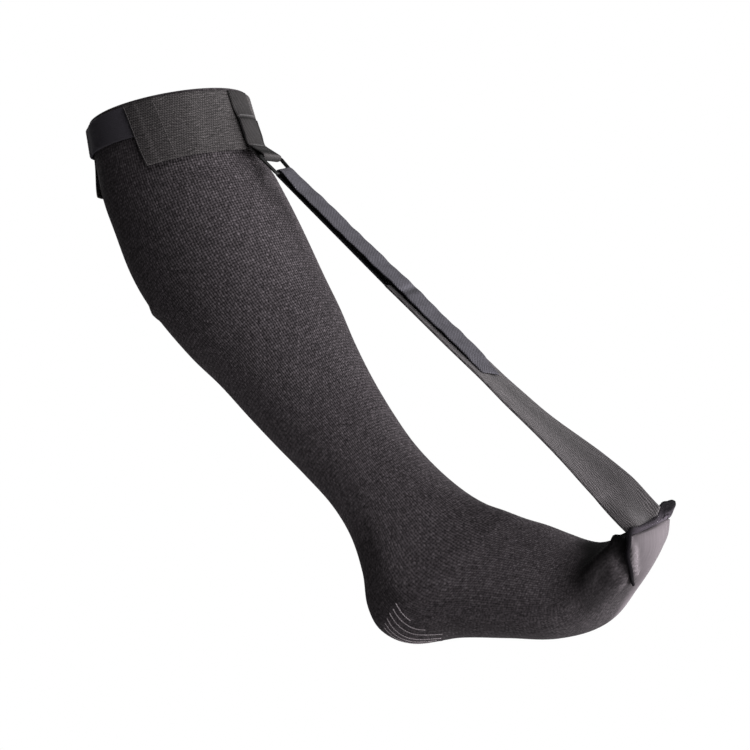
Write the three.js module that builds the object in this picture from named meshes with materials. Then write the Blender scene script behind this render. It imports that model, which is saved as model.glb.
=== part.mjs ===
// Night sock for a sore heel: a knee-high knitted sock whose toe is held up by a strap
// that runs from the toe seam to a ring on the cuff, where it folds back and grips itself.
// Millimetres, +Z up, +X towards the toes. The origin is the centre of the sock's mouth.
// The leg leans back as a resting leg does, and the sock keeps the form it has when worn.
import * as THREE from "three";

// Driving dimensions.
const KNIT = 1.6; // wall of the knitted sock
const ELASTIC = 1.6; // woven elastic of the cuff and of the toe strap
const TAPE = 1.4; // loop tape of the cuff
const HOOK_PILE = 2.2; // hooks under the tail of the hook strap
const WEBBING = 1; // webbing of the ring's tab and of the hook strap
const GAP = 0.5; // air left between pieces that touch
const ELASTIC_WIDTH = 38; // toe strap, edge to edge
const JOINT_WIDTH = 33; // toe strap at its sewn end
const WEBBING_WIDTH = 23; // hook strap and ring tab, edge to edge
const RING_WIRE = 2.4; // thickness of the ring, and of its upper and lower bars
const RING_SIDE = 3.4; // width of its side bars
const RING_INSIDE = 24.4; // clear width of the ring between its side bars
const RING_PITCH = 18; // from the ring's upper bar to its lower bar
const BINDING = 4; // diameter of the overlocked edge on the toe seam
const SIDES = 32; // faces round the knitted tube
const RINGS_PER_SECTION = 2; // rings of faces from one section to the next

// Sections of the knitted tube, from the mouth to the toe seam. Each runs from the shin,
// instep or toe top (front) to the calf, heel or sole (back). belly is the share of that line,
// counted from the back, where the section is widest; square is 2 for a round back and more
// for a flat sole; lean turns the section about X, in degrees.
const COLUMNS = ["frontX", "frontZ", "backX", "backZ", "halfWidth", "belly", "square", "lean"];
const SECTIONS = [
  [55.5, 13, -55.5, -13, 57.5, 0.5, 2, 0],
  [71, -31.5, -45, -61.5, 59, 0.5, 2, 0],
  [81.5, -48, -32.5, -92, 60.5, 0.5, 2, 0],
  [94.5, -69, -17.5, -124, 61, 0.5, 2, 0],
  [106.5, -90, 2, -151, 59.5, 0.5, 2, 0],
  [121.5, -117, 30, -179.5, 55, 0.5, 2, 0],
  [135.2, -140, 54.5, -200, 49.5, 0.5, 2, 0],
  [148.3, -165, 76.5, -221, 44.5, 0.5, 2, 0],
  [163.3, -190, 98.5, -241, 40.5, 0.5, 2, 0],
  [180.2, -214, 121.5, -261, 37, 0.5, 2, 0],
  [197.5, -235, 144, -282, 35, 0.48, 2, 0],
  [217, -252.8, 159.5, -304, 35, 0.46, 2, 0],
  [237, -267, 169, -329, 35.5, 0.44, 2.1, 0],
  [255, -276.2, 172.5, -351, 35, 0.42, 2.2, 0],
  [271, -281, 183, -366.5, 34.5, 0.4, 2.3, 0],
  [287, -286, 206, -373.5, 35.5, 0.38, 2.4, 0],
  [303, -290, 242, -367.7, 38, 0.37, 2.5, 0],
  [318, -295, 281, -366, 41.5, 0.37, 2.6, 0],
  [331, -299, 315, -365, 44, 0.38, 2.5, 0],
  [342, -300.5, 340, -356.8, 45, 0.41, 2.3, 1],
  [353, -298.5, 356.5, -339.2, 42, 0.45, 2.1, 2],
  [363, -294, 371, -321.8, 37.2, 0.5, 2, 4],
  [370.5, -290.5, 380.8, -304.5, 33, 0.5, 2, 6],
  [375.2, -288.4, 381.2, -291.4, 31.5, 0.5, 2, 8],
];
const LAST = SECTIONS.length - 1;

// Ridges and valleys in the knit. Each runs from one place to another, given as a section and an
// angle round it in degrees (0 at the front, 90 on the side of the closure), with a height and a
// half width in millimetres.
const FOLDS = [
  { from: [22.8, 94], to: [20.9, 148], height: 3, width: 4 },
  { from: [22.6, 62], to: [20.4, 112], height: -3, width: 5 },
  { from: [22.05, 60], to: [21.6, 52], height: 4, width: 4 },
  { from: [22.0, 40], to: [19.8, 78], height: 2, width: 5 },
  { from: [22.8, -90], to: [21.2, -96], height: 2, width: 4 },
  { from: [22.4, -58], to: [20.4, -72], height: -2.5, width: 5 },
  { from: [22.0, -34], to: [19.8, -52], height: 2, width: 5 },
  { from: [3.95, 138], to: [3.95, 190], height: 1.6, width: 4 },
];

const { lerp, smoothstep, degToRad, radToDeg } = THREE.MathUtils;
const ACROSS = new THREE.Vector3(0, 1, 0);
const sagittal = (x, z) => new THREE.Vector3(x, 0, z);
// Equal steps from 0 to 1, both ends included.
const shares = (count) => Array.from({ length: count + 1 }, (_, i) => i / count);
// Equal steps once round a circle, in radians.
const turns = (count) => shares(count).slice(1).map((share) => 2 * Math.PI * share);

// The curve of two columns of the section table along the sock.
function columnCurve(first, second) {
  const [a, b] = [COLUMNS.indexOf(first), COLUMNS.indexOf(second)];
  return new THREE.SplineCurve(SECTIONS.map((row) => new THREE.Vector2(row[a], row[b])));
}
const FRONT = columnCurve("frontX", "frontZ");
const BACK = columnCurve("backX", "backZ");
const GIRTH = columnCurve("halfWidth", "belly");
const FORM = columnCurve("square", "lean");

const rounded = (wave, power) => Math.sign(wave) * Math.abs(wave) ** power;

// A point on the smooth outer face of the knit, before its folds.
function smoothKnit(section, degrees) {
  const t = section / LAST;
  const front = FRONT.getPoint(t);
  const back = BACK.getPoint(t);
  const { x: halfWidth, y: belly } = GIRTH.getPoint(t);
  const { x: square, y: lean } = FORM.getPoint(t);
  const widest = back.clone().lerp(front, belly);
  const angle = degToRad(degrees);
  const power = Math.cos(angle) > 0 ? 1 : 2 / square;
  const depth = rounded(Math.cos(angle), power);
  const reach = widest.clone().lerp(depth > 0 ? front : back, Math.abs(depth)).sub(widest);
  const offset = new THREE.Vector3(reach.x, -rounded(Math.sin(angle), power) * halfWidth, reach.y);
  offset.applyAxisAngle(new THREE.Vector3(1, 0, 0), degToRad(lean));
  return offset.add(new THREE.Vector3(widest.x, 0, widest.y));
}

// The outward direction of the smooth knit at a place.
function knitNormal(section, degrees) {
  const step = 0.01;
  const [low, high] = [Math.max(section - step, 0), Math.min(section + step, LAST)];
  const along = smoothKnit(high, degrees).sub(smoothKnit(low, degrees));
  const around = smoothKnit(section, degrees + 1).sub(smoothKnit(section, degrees - 1));
  return around.cross(along).normalize();
}

// Points along a fold on the smooth knit, close enough to measure a distance to it.
const FOLD_LINES = FOLDS.map(({ from, to }) =>
  shares(6).map((share) => smoothKnit(lerp(from[0], to[0], share), lerp(from[1], to[1], share))),
);

// How far the folds raise the knit at a point of its smooth face.
function foldHeight(point) {
  const nearest = new THREE.Vector3();
  return FOLDS.reduce((sum, { height, width }, index) => {
    const line = FOLD_LINES[index];
    let distance = Infinity;
    for (let i = 1; i < line.length; i++) {
      new THREE.Line3(line[i - 1], line[i]).closestPointToPoint(point, true, nearest);
      distance = Math.min(distance, nearest.distanceTo(point));
    }
    return sum + height * Math.exp(-((distance / width) ** 2));
  }, 0);
}

// A point on the knit, lifted off its outer face by so many millimetres.
function knitPoint(section, degrees, lift = 0) {
  const point = smoothKnit(section, degrees);
  return point.addScaledVector(knitNormal(section, degrees), foldHeight(point) + lift);
}

// A closed solid skinned over loops of points. Its two ends are closed by fans, or the last loop
// joins the first where the solid is a ring.
function skin(loops, ring = false) {
  const count = loops[0].length;
  const points = loops.flat();
  const faces = [];
  const steps = ring ? loops.length : loops.length - 1;
  for (let i = 0; i < steps; i++) {
    const next = ((i + 1) % loops.length) * count;
    for (let j = 0; j < count; j++) {
      const [a, b] = [i * count + j, i * count + ((j + 1) % count)];
      const [c, d] = [next + j, next + ((j + 1) % count)];
      faces.push([a, c, b], [b, c, d]);
    }
  }
  if (!ring) {
    [loops[0], loops[loops.length - 1]].forEach((loop, end) => {
      const middle = loop.reduce((sum, p) => sum.add(p), new THREE.Vector3()).divideScalar(count);
      const hub = points.push(middle) - 1;
      const start = end ? (loops.length - 1) * count : 0;
      for (let j = 0; j < count; j++) {
        const [a, b] = [start + j, start + ((j + 1) % count)];
        faces.push(end ? [b, a, hub] : [a, b, hub]);
      }
    });
  }
  const volume = faces.reduce((sum, [a, b, c]) => {
    return sum + points[a].dot(points[b].clone().cross(points[c]));
  }, 0);
  const outward = volume > 0 ? faces : faces.map(([a, b, c]) => [a, c, b]);
  const geometry = new THREE.BufferGeometry().setFromPoints(points);
  geometry.setIndex(outward.flat());
  geometry.computeVertexNormals();
  return geometry;
}

// The four corners of a strap's section between its two edges, so far out and in from its middle.
function strapCorners(near, far, normal, outer, inner) {
  const corner = (edge, height) => edge.clone().addScaledVector(normal, height);
  return [corner(near, outer), corner(far, outer), corner(far, -inner), corner(near, -inner)];
}

// An oval section across a wire or a cord at a point of its path, with its two half widths.
function ovalSection(point, first, second, halfFirst, halfSecond, sides) {
  return turns(sides).map((turn) =>
    point
      .clone()
      .addScaledVector(first, Math.cos(turn) * halfFirst)
      .addScaledVector(second, Math.sin(turn) * halfSecond),
  );
}

// A flat strap along a path in the plane y = 0, with its width along Y. Pile on its inner side, if
// any, has a height for each point of the path.
function flatStrap(path, width, thickness, pile = path.map(() => 0)) {
  const last = path.length - 1;
  return skin(
    path.map((point, i) => {
      const along = path[Math.min(i + 1, last)].clone().sub(path[Math.max(i - 1, 0)]);
      const [near, far] = [-1, 1].map((side) =>
        point.clone().addScaledVector(ACROSS, (side * width) / 2),
      );
      const normal = along.cross(ACROSS).normalize();
      return strapCorners(near, far, normal, thickness / 2, thickness / 2 + pile[i]);
    }),
  );
}

// A band that lies on the knit. Each station is a row of places across the band, with the section,
// the angle and the lift of the band's inner face.
function bandOnKnit(stations, thickness) {
  return skin(
    stations.map((places) => {
      const inner = places.map(({ section, degrees, lift }) => knitPoint(section, degrees, lift));
      const outer = places.map((place) =>
        knitPoint(place.section, place.degrees, place.lift + thickness),
      );
      return [...inner, ...outer.reverse()];
    }),
  );
}

// The knitted sock: one wall, open at the mouth and closed at the toe seam.
function sockBody() {
  const rings = LAST * RINGS_PER_SECTION;
  const insideEnd = LAST - 0.9; // the two walls meet past this section
  const wall = (section, lift) =>
    turns(SIDES).map((turn) => knitPoint(section, radToDeg(turn), lift));
  const sections = shares(rings).map((share) => share * LAST);
  const outside = sections.map((section) => wall(section, 0));
  const insideSections = [...sections.filter((section) => section < insideEnd), insideEnd];
  const inside = insideSections.map((section) => wall(section, -KNIT));
  return skin([...outside.reverse(), ...inside]);
}

// The cuff's elastic starts at the back of the leg, goes round the far side and the shin, and
// ends on the near side, where its slanted end lies on the loop tape. Angles are in degrees, and
// edges in sections.
const CUFF = {
  top: 0.08,
  elasticBottom: 1.02,
  tapeBottomNear: 0.58,
  tapeBottomBack: 0.48,
  elasticBack: -203,
  elasticEndTop: 88,
  elasticEndBottom: 80,
  tapeBack: 172,
  tapeEnd: 50,
  climbOntoTape: [32, 46], // where the elastic climbs onto the loop tape
  climbOntoElastic: [140, 154], // where the loop tape climbs onto the elastic's back end
  backFlare: 3, // how far the elastic's back end stands off the leg at its lower corner
  flareStart: -176,
  shinPull: 2, // how far the strap draws the elastic's lower edge off the shin
  pullSpread: 24,
};
const BAND_ROWS = 4; // rows of faces across a band
const ELASTIC_STEPS = 44; // and along the elastic and the loop tape
const LOOP_TAPE_STEPS = 18;

function cuffElastic() {
  const stations = shares(ELASTIC_STEPS).map((along) =>
    shares(BAND_ROWS).map((across) => {
      const end = lerp(CUFF.elasticEndTop, CUFF.elasticEndBottom, across);
      const degrees = lerp(CUFF.elasticBack, end, along);
      const section = lerp(CUFF.top, CUFF.elasticBottom, across);
      const overTape = smoothstep(degrees, ...CUFF.climbOntoTape) * (TAPE + GAP);
      const belowTape = smoothstep(section, CUFF.tapeBottomBack, CUFF.elasticBottom);
      const atBack = smoothstep(-degrees, -CUFF.flareStart, -CUFF.elasticBack);
      const flare = atBack * belowTape * CUFF.backFlare;
      const pull = Math.exp(-((degrees / CUFF.pullSpread) ** 2)) * across * CUFF.shinPull;
      return { section, degrees, lift: GAP + overTape + flare + pull };
    }),
  );
  return bandOnKnit(stations, ELASTIC);
}

// The loop tape is sewn over the back end of the elastic and lies under its slanted end.
function cuffTape() {
  const stations = shares(LOOP_TAPE_STEPS).map((along) =>
    shares(BAND_ROWS).map((across) => {
      const degrees = lerp(CUFF.tapeBack, CUFF.tapeEnd, along);
      const bottom = lerp(CUFF.tapeBottomBack, CUFF.tapeBottomNear, along);
      const section = lerp(CUFF.top, bottom, across);
      const overElastic = smoothstep(degrees, ...CUFF.climbOntoElastic) * (ELASTIC + GAP);
      return { section, degrees, lift: GAP + overElastic };
    }),
  );
  return bandOnKnit(stations, TAPE);
}

// The strap's straight run, from the toe seam to the ring's lower bar, in the plane y = 0.
const RING_LOW = sagittal(100, -48.5);
const PULL = sagittal(0.75, -0.66).normalize();
const RING_HIGH = RING_LOW.clone().addScaledVector(PULL, -RING_PITCH);
const RING_RISE = 3.8; // the lower bar stands this far over the elastic's line
const RUN_HEAD = RING_LOW.clone().addScaledVector(PULL.clone().cross(ACROSS), -RING_RISE);
const STRAP_FOOT = sagittal(373.2, -284.3);
const STRAP_ALONG = RUN_HEAD.clone().sub(STRAP_FOOT).normalize();
const STRAP_UP = ACROSS.clone().cross(STRAP_ALONG);
const STRAP_RUN = STRAP_FOOT.distanceTo(RUN_HEAD);

// The elastic bows up off its line past the toe by so much, and is back on it further on.
const BOW = { height: 2.7, full: 32, fall: 50, level: 120 };
function bowHeight(distance) {
  const rise = smoothstep(distance, 0, BOW.full);
  return BOW.height * rise * (1 - smoothstep(distance, BOW.fall, BOW.level));
}

// A place on the strap's run: so far from the toe, and so high over the run.
const onRun = (distance, height) =>
  STRAP_FOOT.clone()
    .addScaledVector(STRAP_ALONG, distance)
    .addScaledVector(STRAP_UP, height + bowHeight(distance));

// Where the elastic and the hook strap are sewn together, and where the hook strap's tail ends,
// counted from the toe.
const JOINT_START = 221;
const JOINT_END = 241;
const TAIL_END = 142;
const TAPER_START = 165; // the elastic narrows to its sewn end from here

// The elastic's toe end is turned about its run. It comes level in two steps, each of so many
// degrees between two distances from the toe.
const TWISTS = [
  { degrees: 27, from: 0, to: 118 },
  { degrees: 3.5, from: 110, to: 148 },
];

// Behind the toe seam the elastic spreads from its own width to this line, given by its two ends.
const FOOT_NEAR = new THREE.Vector3(369.8, -17.4, -292.2);
const FOOT_FAR = new THREE.Vector3(378.8, 16.5, -276.8);
const FOOT_START = 6; // distance at which the elastic has its own width

function toeStrap() {
  const row = (distance) => {
    const roll = TWISTS.reduce((sum, { degrees, from, to }) => {
      return sum + degToRad(degrees) * (1 - smoothstep(distance, from, to));
    }, 0);
    const taper = smoothstep(distance, TAPER_START, JOINT_END);
    const width = lerp(ELASTIC_WIDTH, JOINT_WIDTH, taper);
    const across = ACROSS.clone().applyAxisAngle(STRAP_ALONG, -roll);
    const normal = STRAP_UP.clone().applyAxisAngle(STRAP_ALONG, -roll);
    const [near, far] = [-1, 1].map((side) =>
      onRun(distance, 0).addScaledVector(across, (side * width) / 2),
    );
    return { near, far, normal };
  };
  const start = row(FOOT_START);
  const foot = [0, 0.5].map((share) => ({
    near: FOOT_NEAR.clone().lerp(start.near, share),
    far: FOOT_FAR.clone().lerp(start.far, share),
    normal: start.normal,
  }));
  const run = shares(24).map((share) => row(lerp(FOOT_START, JOINT_END, share)));
  return skin(
    [...foot, ...run].map(({ near, far, normal }) =>
      strapCorners(near, far, normal, ELASTIC / 2, ELASTIC / 2),
    ),
  );
}

// The hook strap: sewn under the elastic's end, up to the ring, round its lower bar, and back down
// on top of the elastic, where its tail has hooks underneath.
function hookStrap() {
  const under = -ELASTIC / 2 - GAP - WEBBING / 2;
  const onElastic = ELASTIC / 2 + GAP + HOOK_PILE + WEBBING / 2;
  const bend = RING_WIRE / 2 + GAP + WEBBING / 2;
  const turn = shares(8).map((share) => {
    const angle = Math.PI * (share - 0.5);
    const [along, up] = [Math.cos(angle) * bend, Math.sin(angle) * bend];
    return { distance: STRAP_RUN + along, height: RING_RISE + up, pile: 0 };
  });
  const stations = [
    { distance: JOINT_START, height: under, pile: 0 },
    { distance: JOINT_END, height: under, pile: 0 },
    ...turn,
    { distance: JOINT_END + 44, height: onElastic + 0.9, pile: 0 },
    { distance: JOINT_END + 8, height: onElastic + 0.7, pile: HOOK_PILE },
    { distance: JOINT_START - 1, height: onElastic + 0.6, pile: HOOK_PILE },
    { distance: JOINT_START - 16, height: onElastic, pile: HOOK_PILE },
    { distance: TAIL_END, height: onElastic, pile: HOOK_PILE },
  ];
  const path = stations.map(({ distance, height }) => onRun(distance, height));
  const pile = stations.map((station) => station.pile);
  return flatStrap(path, WEBBING_WIDTH, WEBBING, pile);
}

// The ring: a rectangle with rounded corners and flatter side bars, in the plane of the pull.
function ring() {
  const normal = PULL.clone().cross(ACROSS);
  const centre = RING_LOW.clone().addScaledVector(PULL, -RING_PITCH / 2);
  const corner = 2.4; // bend radius at the bars' centre
  const [halfAcross, halfPull] = [(RING_INSIDE + RING_SIDE) / 2, RING_PITCH / 2];
  const corners = [
    { sideAcross: 1, sidePull: 1 },
    { sideAcross: -1, sidePull: 1 },
    { sideAcross: -1, sidePull: -1 },
    { sideAcross: 1, sidePull: -1 },
  ];
  const loops = corners.flatMap(({ sideAcross, sidePull }, quarter) =>
    shares(4).map((share) => {
      const angle = (Math.PI / 2) * (quarter + share);
      const outward = ACROSS.clone()
        .multiplyScalar(Math.cos(angle))
        .addScaledVector(PULL, Math.sin(angle));
      const point = centre
        .clone()
        .addScaledVector(ACROSS, sideAcross * (halfAcross - corner))
        .addScaledVector(PULL, sidePull * (halfPull - corner))
        .addScaledVector(outward, corner);
      const width = lerp(RING_WIRE, RING_SIDE, Math.abs(Math.cos(angle)));
      return ovalSection(point, outward, normal, width / 2, RING_WIRE / 2, 10);
    }),
  );
  return skin(loops, true);
}

// The ring's tab: webbing sewn down the front of the cuff, folded round the ring's upper bar and
// back under itself.
function ringTab() {
  const tabLift = (section) => {
    const across = (section - CUFF.top) / (CUFF.elasticBottom - CUFF.top);
    return GAP + across * CUFF.shinPull + ELASTIC + GAP + WEBBING / 2;
  };
  const bend = RING_WIRE / 2 + GAP + WEBBING / 2;
  const underlap = [0.95, 0.75, 0.55]; // sections of the layer that comes back underneath
  const overlap = [0.1, 0.25, 0.4]; // sections where the tab is a single layer
  const doubled = WEBBING + GAP;
  const leaves = knitPoint(underlap[0], 0, tabLift(underlap[0]) + doubled / 2);
  const pull = RING_HIGH.clone().sub(leaves).normalize();
  const outward = pull.clone().cross(ACROSS);
  const path = overlap.map((section) => knitPoint(section, 0, tabLift(section)));
  for (const section of [...underlap].reverse()) {
    path.push(knitPoint(section, 0, tabLift(section) + doubled));
  }
  for (const share of shares(8)) {
    const angle = Math.PI * (0.5 - share);
    path.push(
      RING_HIGH.clone()
        .addScaledVector(pull, Math.cos(angle) * bend)
        .addScaledVector(outward, Math.sin(angle) * bend),
    );
  }
  path.push(...underlap.map((section) => knitPoint(section, 0, tabLift(section))));
  return flatStrap(path, WEBBING_WIDTH, WEBBING);
}

// The overlocked edge of the toe seam: up the near crease, along the seam, and into an ear that
// stands up past the strap's far edge.
function toeBinding() {
  const clear = 0.8; // between the binding and the knit
  const half = BINDING / 2;
  const seamNear = smoothKnit(LAST, 90);
  const seamFar = smoothKnit(LAST, -90);
  const seamUp = sagittal(0.46, 0.89).normalize();
  const upright = sagittal(0, 1);
  const onCrease = (section, degrees, thick) => ({
    place: knitPoint(section, degrees, thick + 1.6 * clear),
    up: knitNormal(section, degrees),
    thick,
    tall: thick,
  });
  const onSeam = (share, up, thick, tall, rise = 0) => ({
    place: seamNear.clone().lerp(seamFar, share).addScaledVector(up, clear + tall + rise),
    up,
    thick,
    tall,
  });
  const stops = [
    onCrease(20.76, 173, 0.9),
    onCrease(21.05, 155, 1.2),
    onCrease(21.4, 131, 1.4),
    onCrease(21.8, 111, 1.5),
    onCrease(22.4, 97, 1.6),
    onSeam(0, seamUp, 0.9 * half, 0.9 * half, 1.7),
    onSeam(0.2, seamUp, half, half),
    onSeam(0.42, seamUp, half, half),
    onSeam(0.6, seamUp, half, 1.2 * half),
    onSeam(0.78, upright, 0.85 * half, 3.6),
    onSeam(0.86, upright, 0.75 * half, 6),
    onSeam(0.95, upright, 0.7 * half, 5.4, 0.8),
    onSeam(1.03, upright, 0.65 * half, 4.2, 2.6),
    onSeam(1.11, upright, 0.55 * half, 2.6, 4.6),
    onSeam(1.18, upright, 0.45 * half, 1.3, 6),
  ];
  const curve = new THREE.CatmullRomCurve3(stops.map((stop) => stop.place));
  const steps = 3 * (stops.length - 1);
  return skin(
    shares(steps).map((share) => {
      const at = share * (stops.length - 1);
      const [from, to] = [stops[Math.floor(at)], stops[Math.ceil(at)]];
      const blend = at - Math.floor(at);
      const tangent = curve.getTangent(share);
      const side = from.up.clone().lerp(to.up, blend).cross(tangent).normalize();
      const up = tangent.cross(side);
      const [thick, tall] = ["thick", "tall"].map((key) => lerp(from[key], to[key], blend));
      return ovalSection(curve.getPoint(share), side, up, thick, tall, 8);
    }),
  );
}

const PIECES = [
  { name: "sock_body", geometry: sockBody(), color: 0x2b282b, roughness: 0.95, metalness: 0 },
  { name: "cuff_elastic", geometry: cuffElastic(), color: 0x353334, roughness: 0.9, metalness: 0 },
  { name: "cuff_loop_tape", geometry: cuffTape(), color: 0x17161a, roughness: 0.95, metalness: 0 },
  { name: "ring_tab", geometry: ringTab(), color: 0x343233, roughness: 0.9, metalness: 0 },
  { name: "strap_ring", geometry: ring(), color: 0x111113, roughness: 0.35, metalness: 0.6 },
  { name: "hook_strap", geometry: hookStrap(), color: 0x45444a, roughness: 0.9, metalness: 0 },
  { name: "toe_strap", geometry: toeStrap(), color: 0x464244, roughness: 0.9, metalness: 0 },
  { name: "toe_binding", geometry: toeBinding(), color: 0x2a2431, roughness: 0.9, metalness: 0 },
];

const sock = new THREE.Group();
for (const { name, geometry, color, roughness, metalness } of PIECES) {
  const material = new THREE.MeshStandardMaterial({ color, roughness, metalness });
  const mesh = new THREE.Mesh(geometry, material);
  mesh.name = name;
  sock.add(mesh);
}

export default sock;
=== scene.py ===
"""Night sock for a sore heel: the looks of its knit, elastics, tapes, ring and toe seam.

Sizes and places are in millimetres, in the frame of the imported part, and meshes are in metres.
"""

import bpy
import numpy as np
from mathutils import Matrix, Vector


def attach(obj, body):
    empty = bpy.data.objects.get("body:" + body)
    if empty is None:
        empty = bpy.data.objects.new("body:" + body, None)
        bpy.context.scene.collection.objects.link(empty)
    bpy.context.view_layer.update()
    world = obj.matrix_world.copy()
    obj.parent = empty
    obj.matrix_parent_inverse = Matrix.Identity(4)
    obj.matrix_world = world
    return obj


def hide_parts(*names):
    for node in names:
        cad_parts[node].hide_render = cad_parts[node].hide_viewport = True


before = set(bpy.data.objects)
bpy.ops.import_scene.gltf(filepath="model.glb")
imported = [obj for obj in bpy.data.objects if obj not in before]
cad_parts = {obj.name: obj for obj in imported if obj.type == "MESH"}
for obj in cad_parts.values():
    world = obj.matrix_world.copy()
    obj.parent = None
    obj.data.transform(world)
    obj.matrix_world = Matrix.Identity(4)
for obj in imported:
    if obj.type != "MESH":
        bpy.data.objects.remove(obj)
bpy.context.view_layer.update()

MM = 0.001

# Driving sizes, the same as the solids'.
KNIT = 1.6
ELASTIC = 1.6
TAPE = 1.4
HOOK_PILE = 2.2
WEBBING = 1.0
GAP = 0.5
ELASTIC_WIDTH = 38
JOINT_WIDTH = 33
WEBBING_WIDTH = 23
RING_WIRE = 2.4
RING_SIDE = 3.4
RING_INSIDE = 24.4
RING_PITCH = 18
BINDING = 4

# The knit: stitches round the sock, and the height of one course of them.
WALES = 184
COURSE = 2.35
STITCH_RELIEF = 0.05
INSIDE_STEP = 3  # the inner wall has a ring of faces for every third course

# Sections of the knitted tube, from the mouth to the toe seam. Each runs from the shin, instep or
# toe top (front) to the calf, heel or sole (back). belly is the share of that line, counted from
# the back, where the section is widest; square is 2 for a round back and more for a flat sole;
# lean turns the section about X, in degrees.
COLUMNS = ("front_x", "front_z", "back_x", "back_z", "half_width", "belly", "square", "lean")
SECTIONS = np.array([
    (55.5, 13, -55.5, -13, 57.5, 0.5, 2, 0),
    (71, -31.5, -45, -61.5, 59, 0.5, 2, 0),
    (81.5, -48, -32.5, -92, 60.5, 0.5, 2, 0),
    (94.5, -69, -17.5, -124, 61, 0.5, 2, 0),
    (106.5, -90, 2, -151, 59.5, 0.5, 2, 0),
    (121.5, -117, 30, -179.5, 55, 0.5, 2, 0),
    (135.2, -140, 54.5, -200, 49.5, 0.5, 2, 0),
    (148.3, -165, 76.5, -221, 44.5, 0.5, 2, 0),
    (163.3, -190, 98.5, -241, 40.5, 0.5, 2, 0),
    (180.2, -214, 121.5, -261, 37, 0.5, 2, 0),
    (197.5, -235, 144, -282, 35, 0.48, 2, 0),
    (217, -252.8, 159.5, -304, 35, 0.46, 2, 0),
    (237, -267, 169, -329, 35.5, 0.44, 2.1, 0),
    (255, -276.2, 172.5, -351, 35, 0.42, 2.2, 0),
    (271, -281, 183, -366.5, 34.5, 0.4, 2.3, 0),
    (287, -286, 206, -373.5, 35.5, 0.38, 2.4, 0),
    (303, -290, 242, -367.7, 38, 0.37, 2.5, 0),
    (318, -295, 281, -366, 41.5, 0.37, 2.6, 0),
    (331, -299, 315, -365, 44, 0.38, 2.5, 0),
    (342, -300.5, 340, -356.8, 45, 0.41, 2.3, 1),
    (353, -298.5, 356.5, -339.2, 42, 0.45, 2.1, 2),
    (363, -294, 371, -321.8, 37.2, 0.5, 2, 4),
    (370.5, -290.5, 380.8, -304.5, 33, 0.5, 2, 6),
    (375.2, -288.4, 381.2, -291.4, 31.5, 0.5, 2, 8),
])
LAST = len(SECTIONS) - 1

# Ridges and valleys in the knit: from one place to another, each a section and an angle round it in
# degrees (0 at the front, 90 on the side of the closure), with a height and a half width.
FOLDS = [
    {"start": (22.8, 94), "end": (20.9, 148), "height": 3, "width": 4},
    {"start": (22.6, 62), "end": (20.4, 112), "height": -3, "width": 5},
    {"start": (22.05, 60), "end": (21.6, 52), "height": 4, "width": 4},
    {"start": (22.0, 40), "end": (19.8, 78), "height": 2, "width": 5},
    {"start": (22.8, -90), "end": (21.2, -96), "height": 2, "width": 4},
    {"start": (22.4, -58), "end": (20.4, -72), "height": -2.5, "width": 5},
    {"start": (22.0, -34), "end": (19.8, -52), "height": 2, "width": 5},
    {"start": (3.95, 138), "end": (3.95, 190), "height": 1.6, "width": 4},
]
FOLD_STEPS = 7

ACROSS = np.array((0.0, 1.0, 0.0))


def sagittal(x, z):
    """A point or direction in the plane that halves the sock."""
    return np.array((x, 0.0, z), float)


def unit(vectors):
    """Vectors made one long."""
    return vectors / np.linalg.norm(vectors, axis=-1, keepdims=True)


def blend(first, last, share):
    """A value between a first and a last one, by its share of the way."""
    return first + (last - first) * share


def smoothstep(value, start, end):
    """0 before start, 1 past end, and a smooth rise between them; start may be the greater one."""
    share = np.clip((value - start) / (end - start), 0, 1)
    return share * share * (3 - 2 * share)


def hump(away, width):
    """1 where away is 0, fading to nothing at about twice the width on either side."""
    return np.exp(-((away / width) ** 2))


def humps(value, marks):
    """Humps, or hollows below 0, from marks of a place, a half width and a height each."""
    return sum(height * hump(value - place, width) for place, width, height in marks)


def spline(points, at):
    """Places on the smooth curve through points, where at counts points from the first."""
    points = np.asarray(points, float)
    end = len(points) - 1
    at = np.clip(np.asarray(at, float), 0, end)
    index = np.minimum(np.floor(at).astype(int), end)
    share = (at - index)[..., None]
    before, here = points[np.maximum(index - 1, 0)], points[index]
    after, beyond = points[np.minimum(index + 1, end)], points[np.minimum(index + 2, end)]
    leave, arrive = (after - before) / 2, (beyond - here) / 2
    cubic = 2 * here - 2 * after + leave + arrive
    square = -3 * here + 3 * after - 2 * leave - arrive
    return ((cubic * share + square) * share + leave) * share + here


def distances(path):
    """How far along a path each of its points is."""
    steps = np.linalg.norm(np.diff(path, axis=0), axis=-1)
    return np.concatenate([[0], np.cumsum(steps)])


def lengthwise(grid):
    """How far along each column of a grid its points are."""
    return np.stack([distances(grid[:, column]) for column in range(grid.shape[1])], 1)


def even_path(points, step):
    """A smooth path through points, with points of its own about every step."""
    fine = spline(points, np.linspace(0, len(points) - 1, 40 * len(points)))
    reach = distances(fine)
    wanted = np.linspace(0, reach[-1], max(int(round(reach[-1] / step)), 2) + 1)
    return np.stack([np.interp(wanted, reach, fine[:, axis]) for axis in range(3)], -1)


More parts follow.
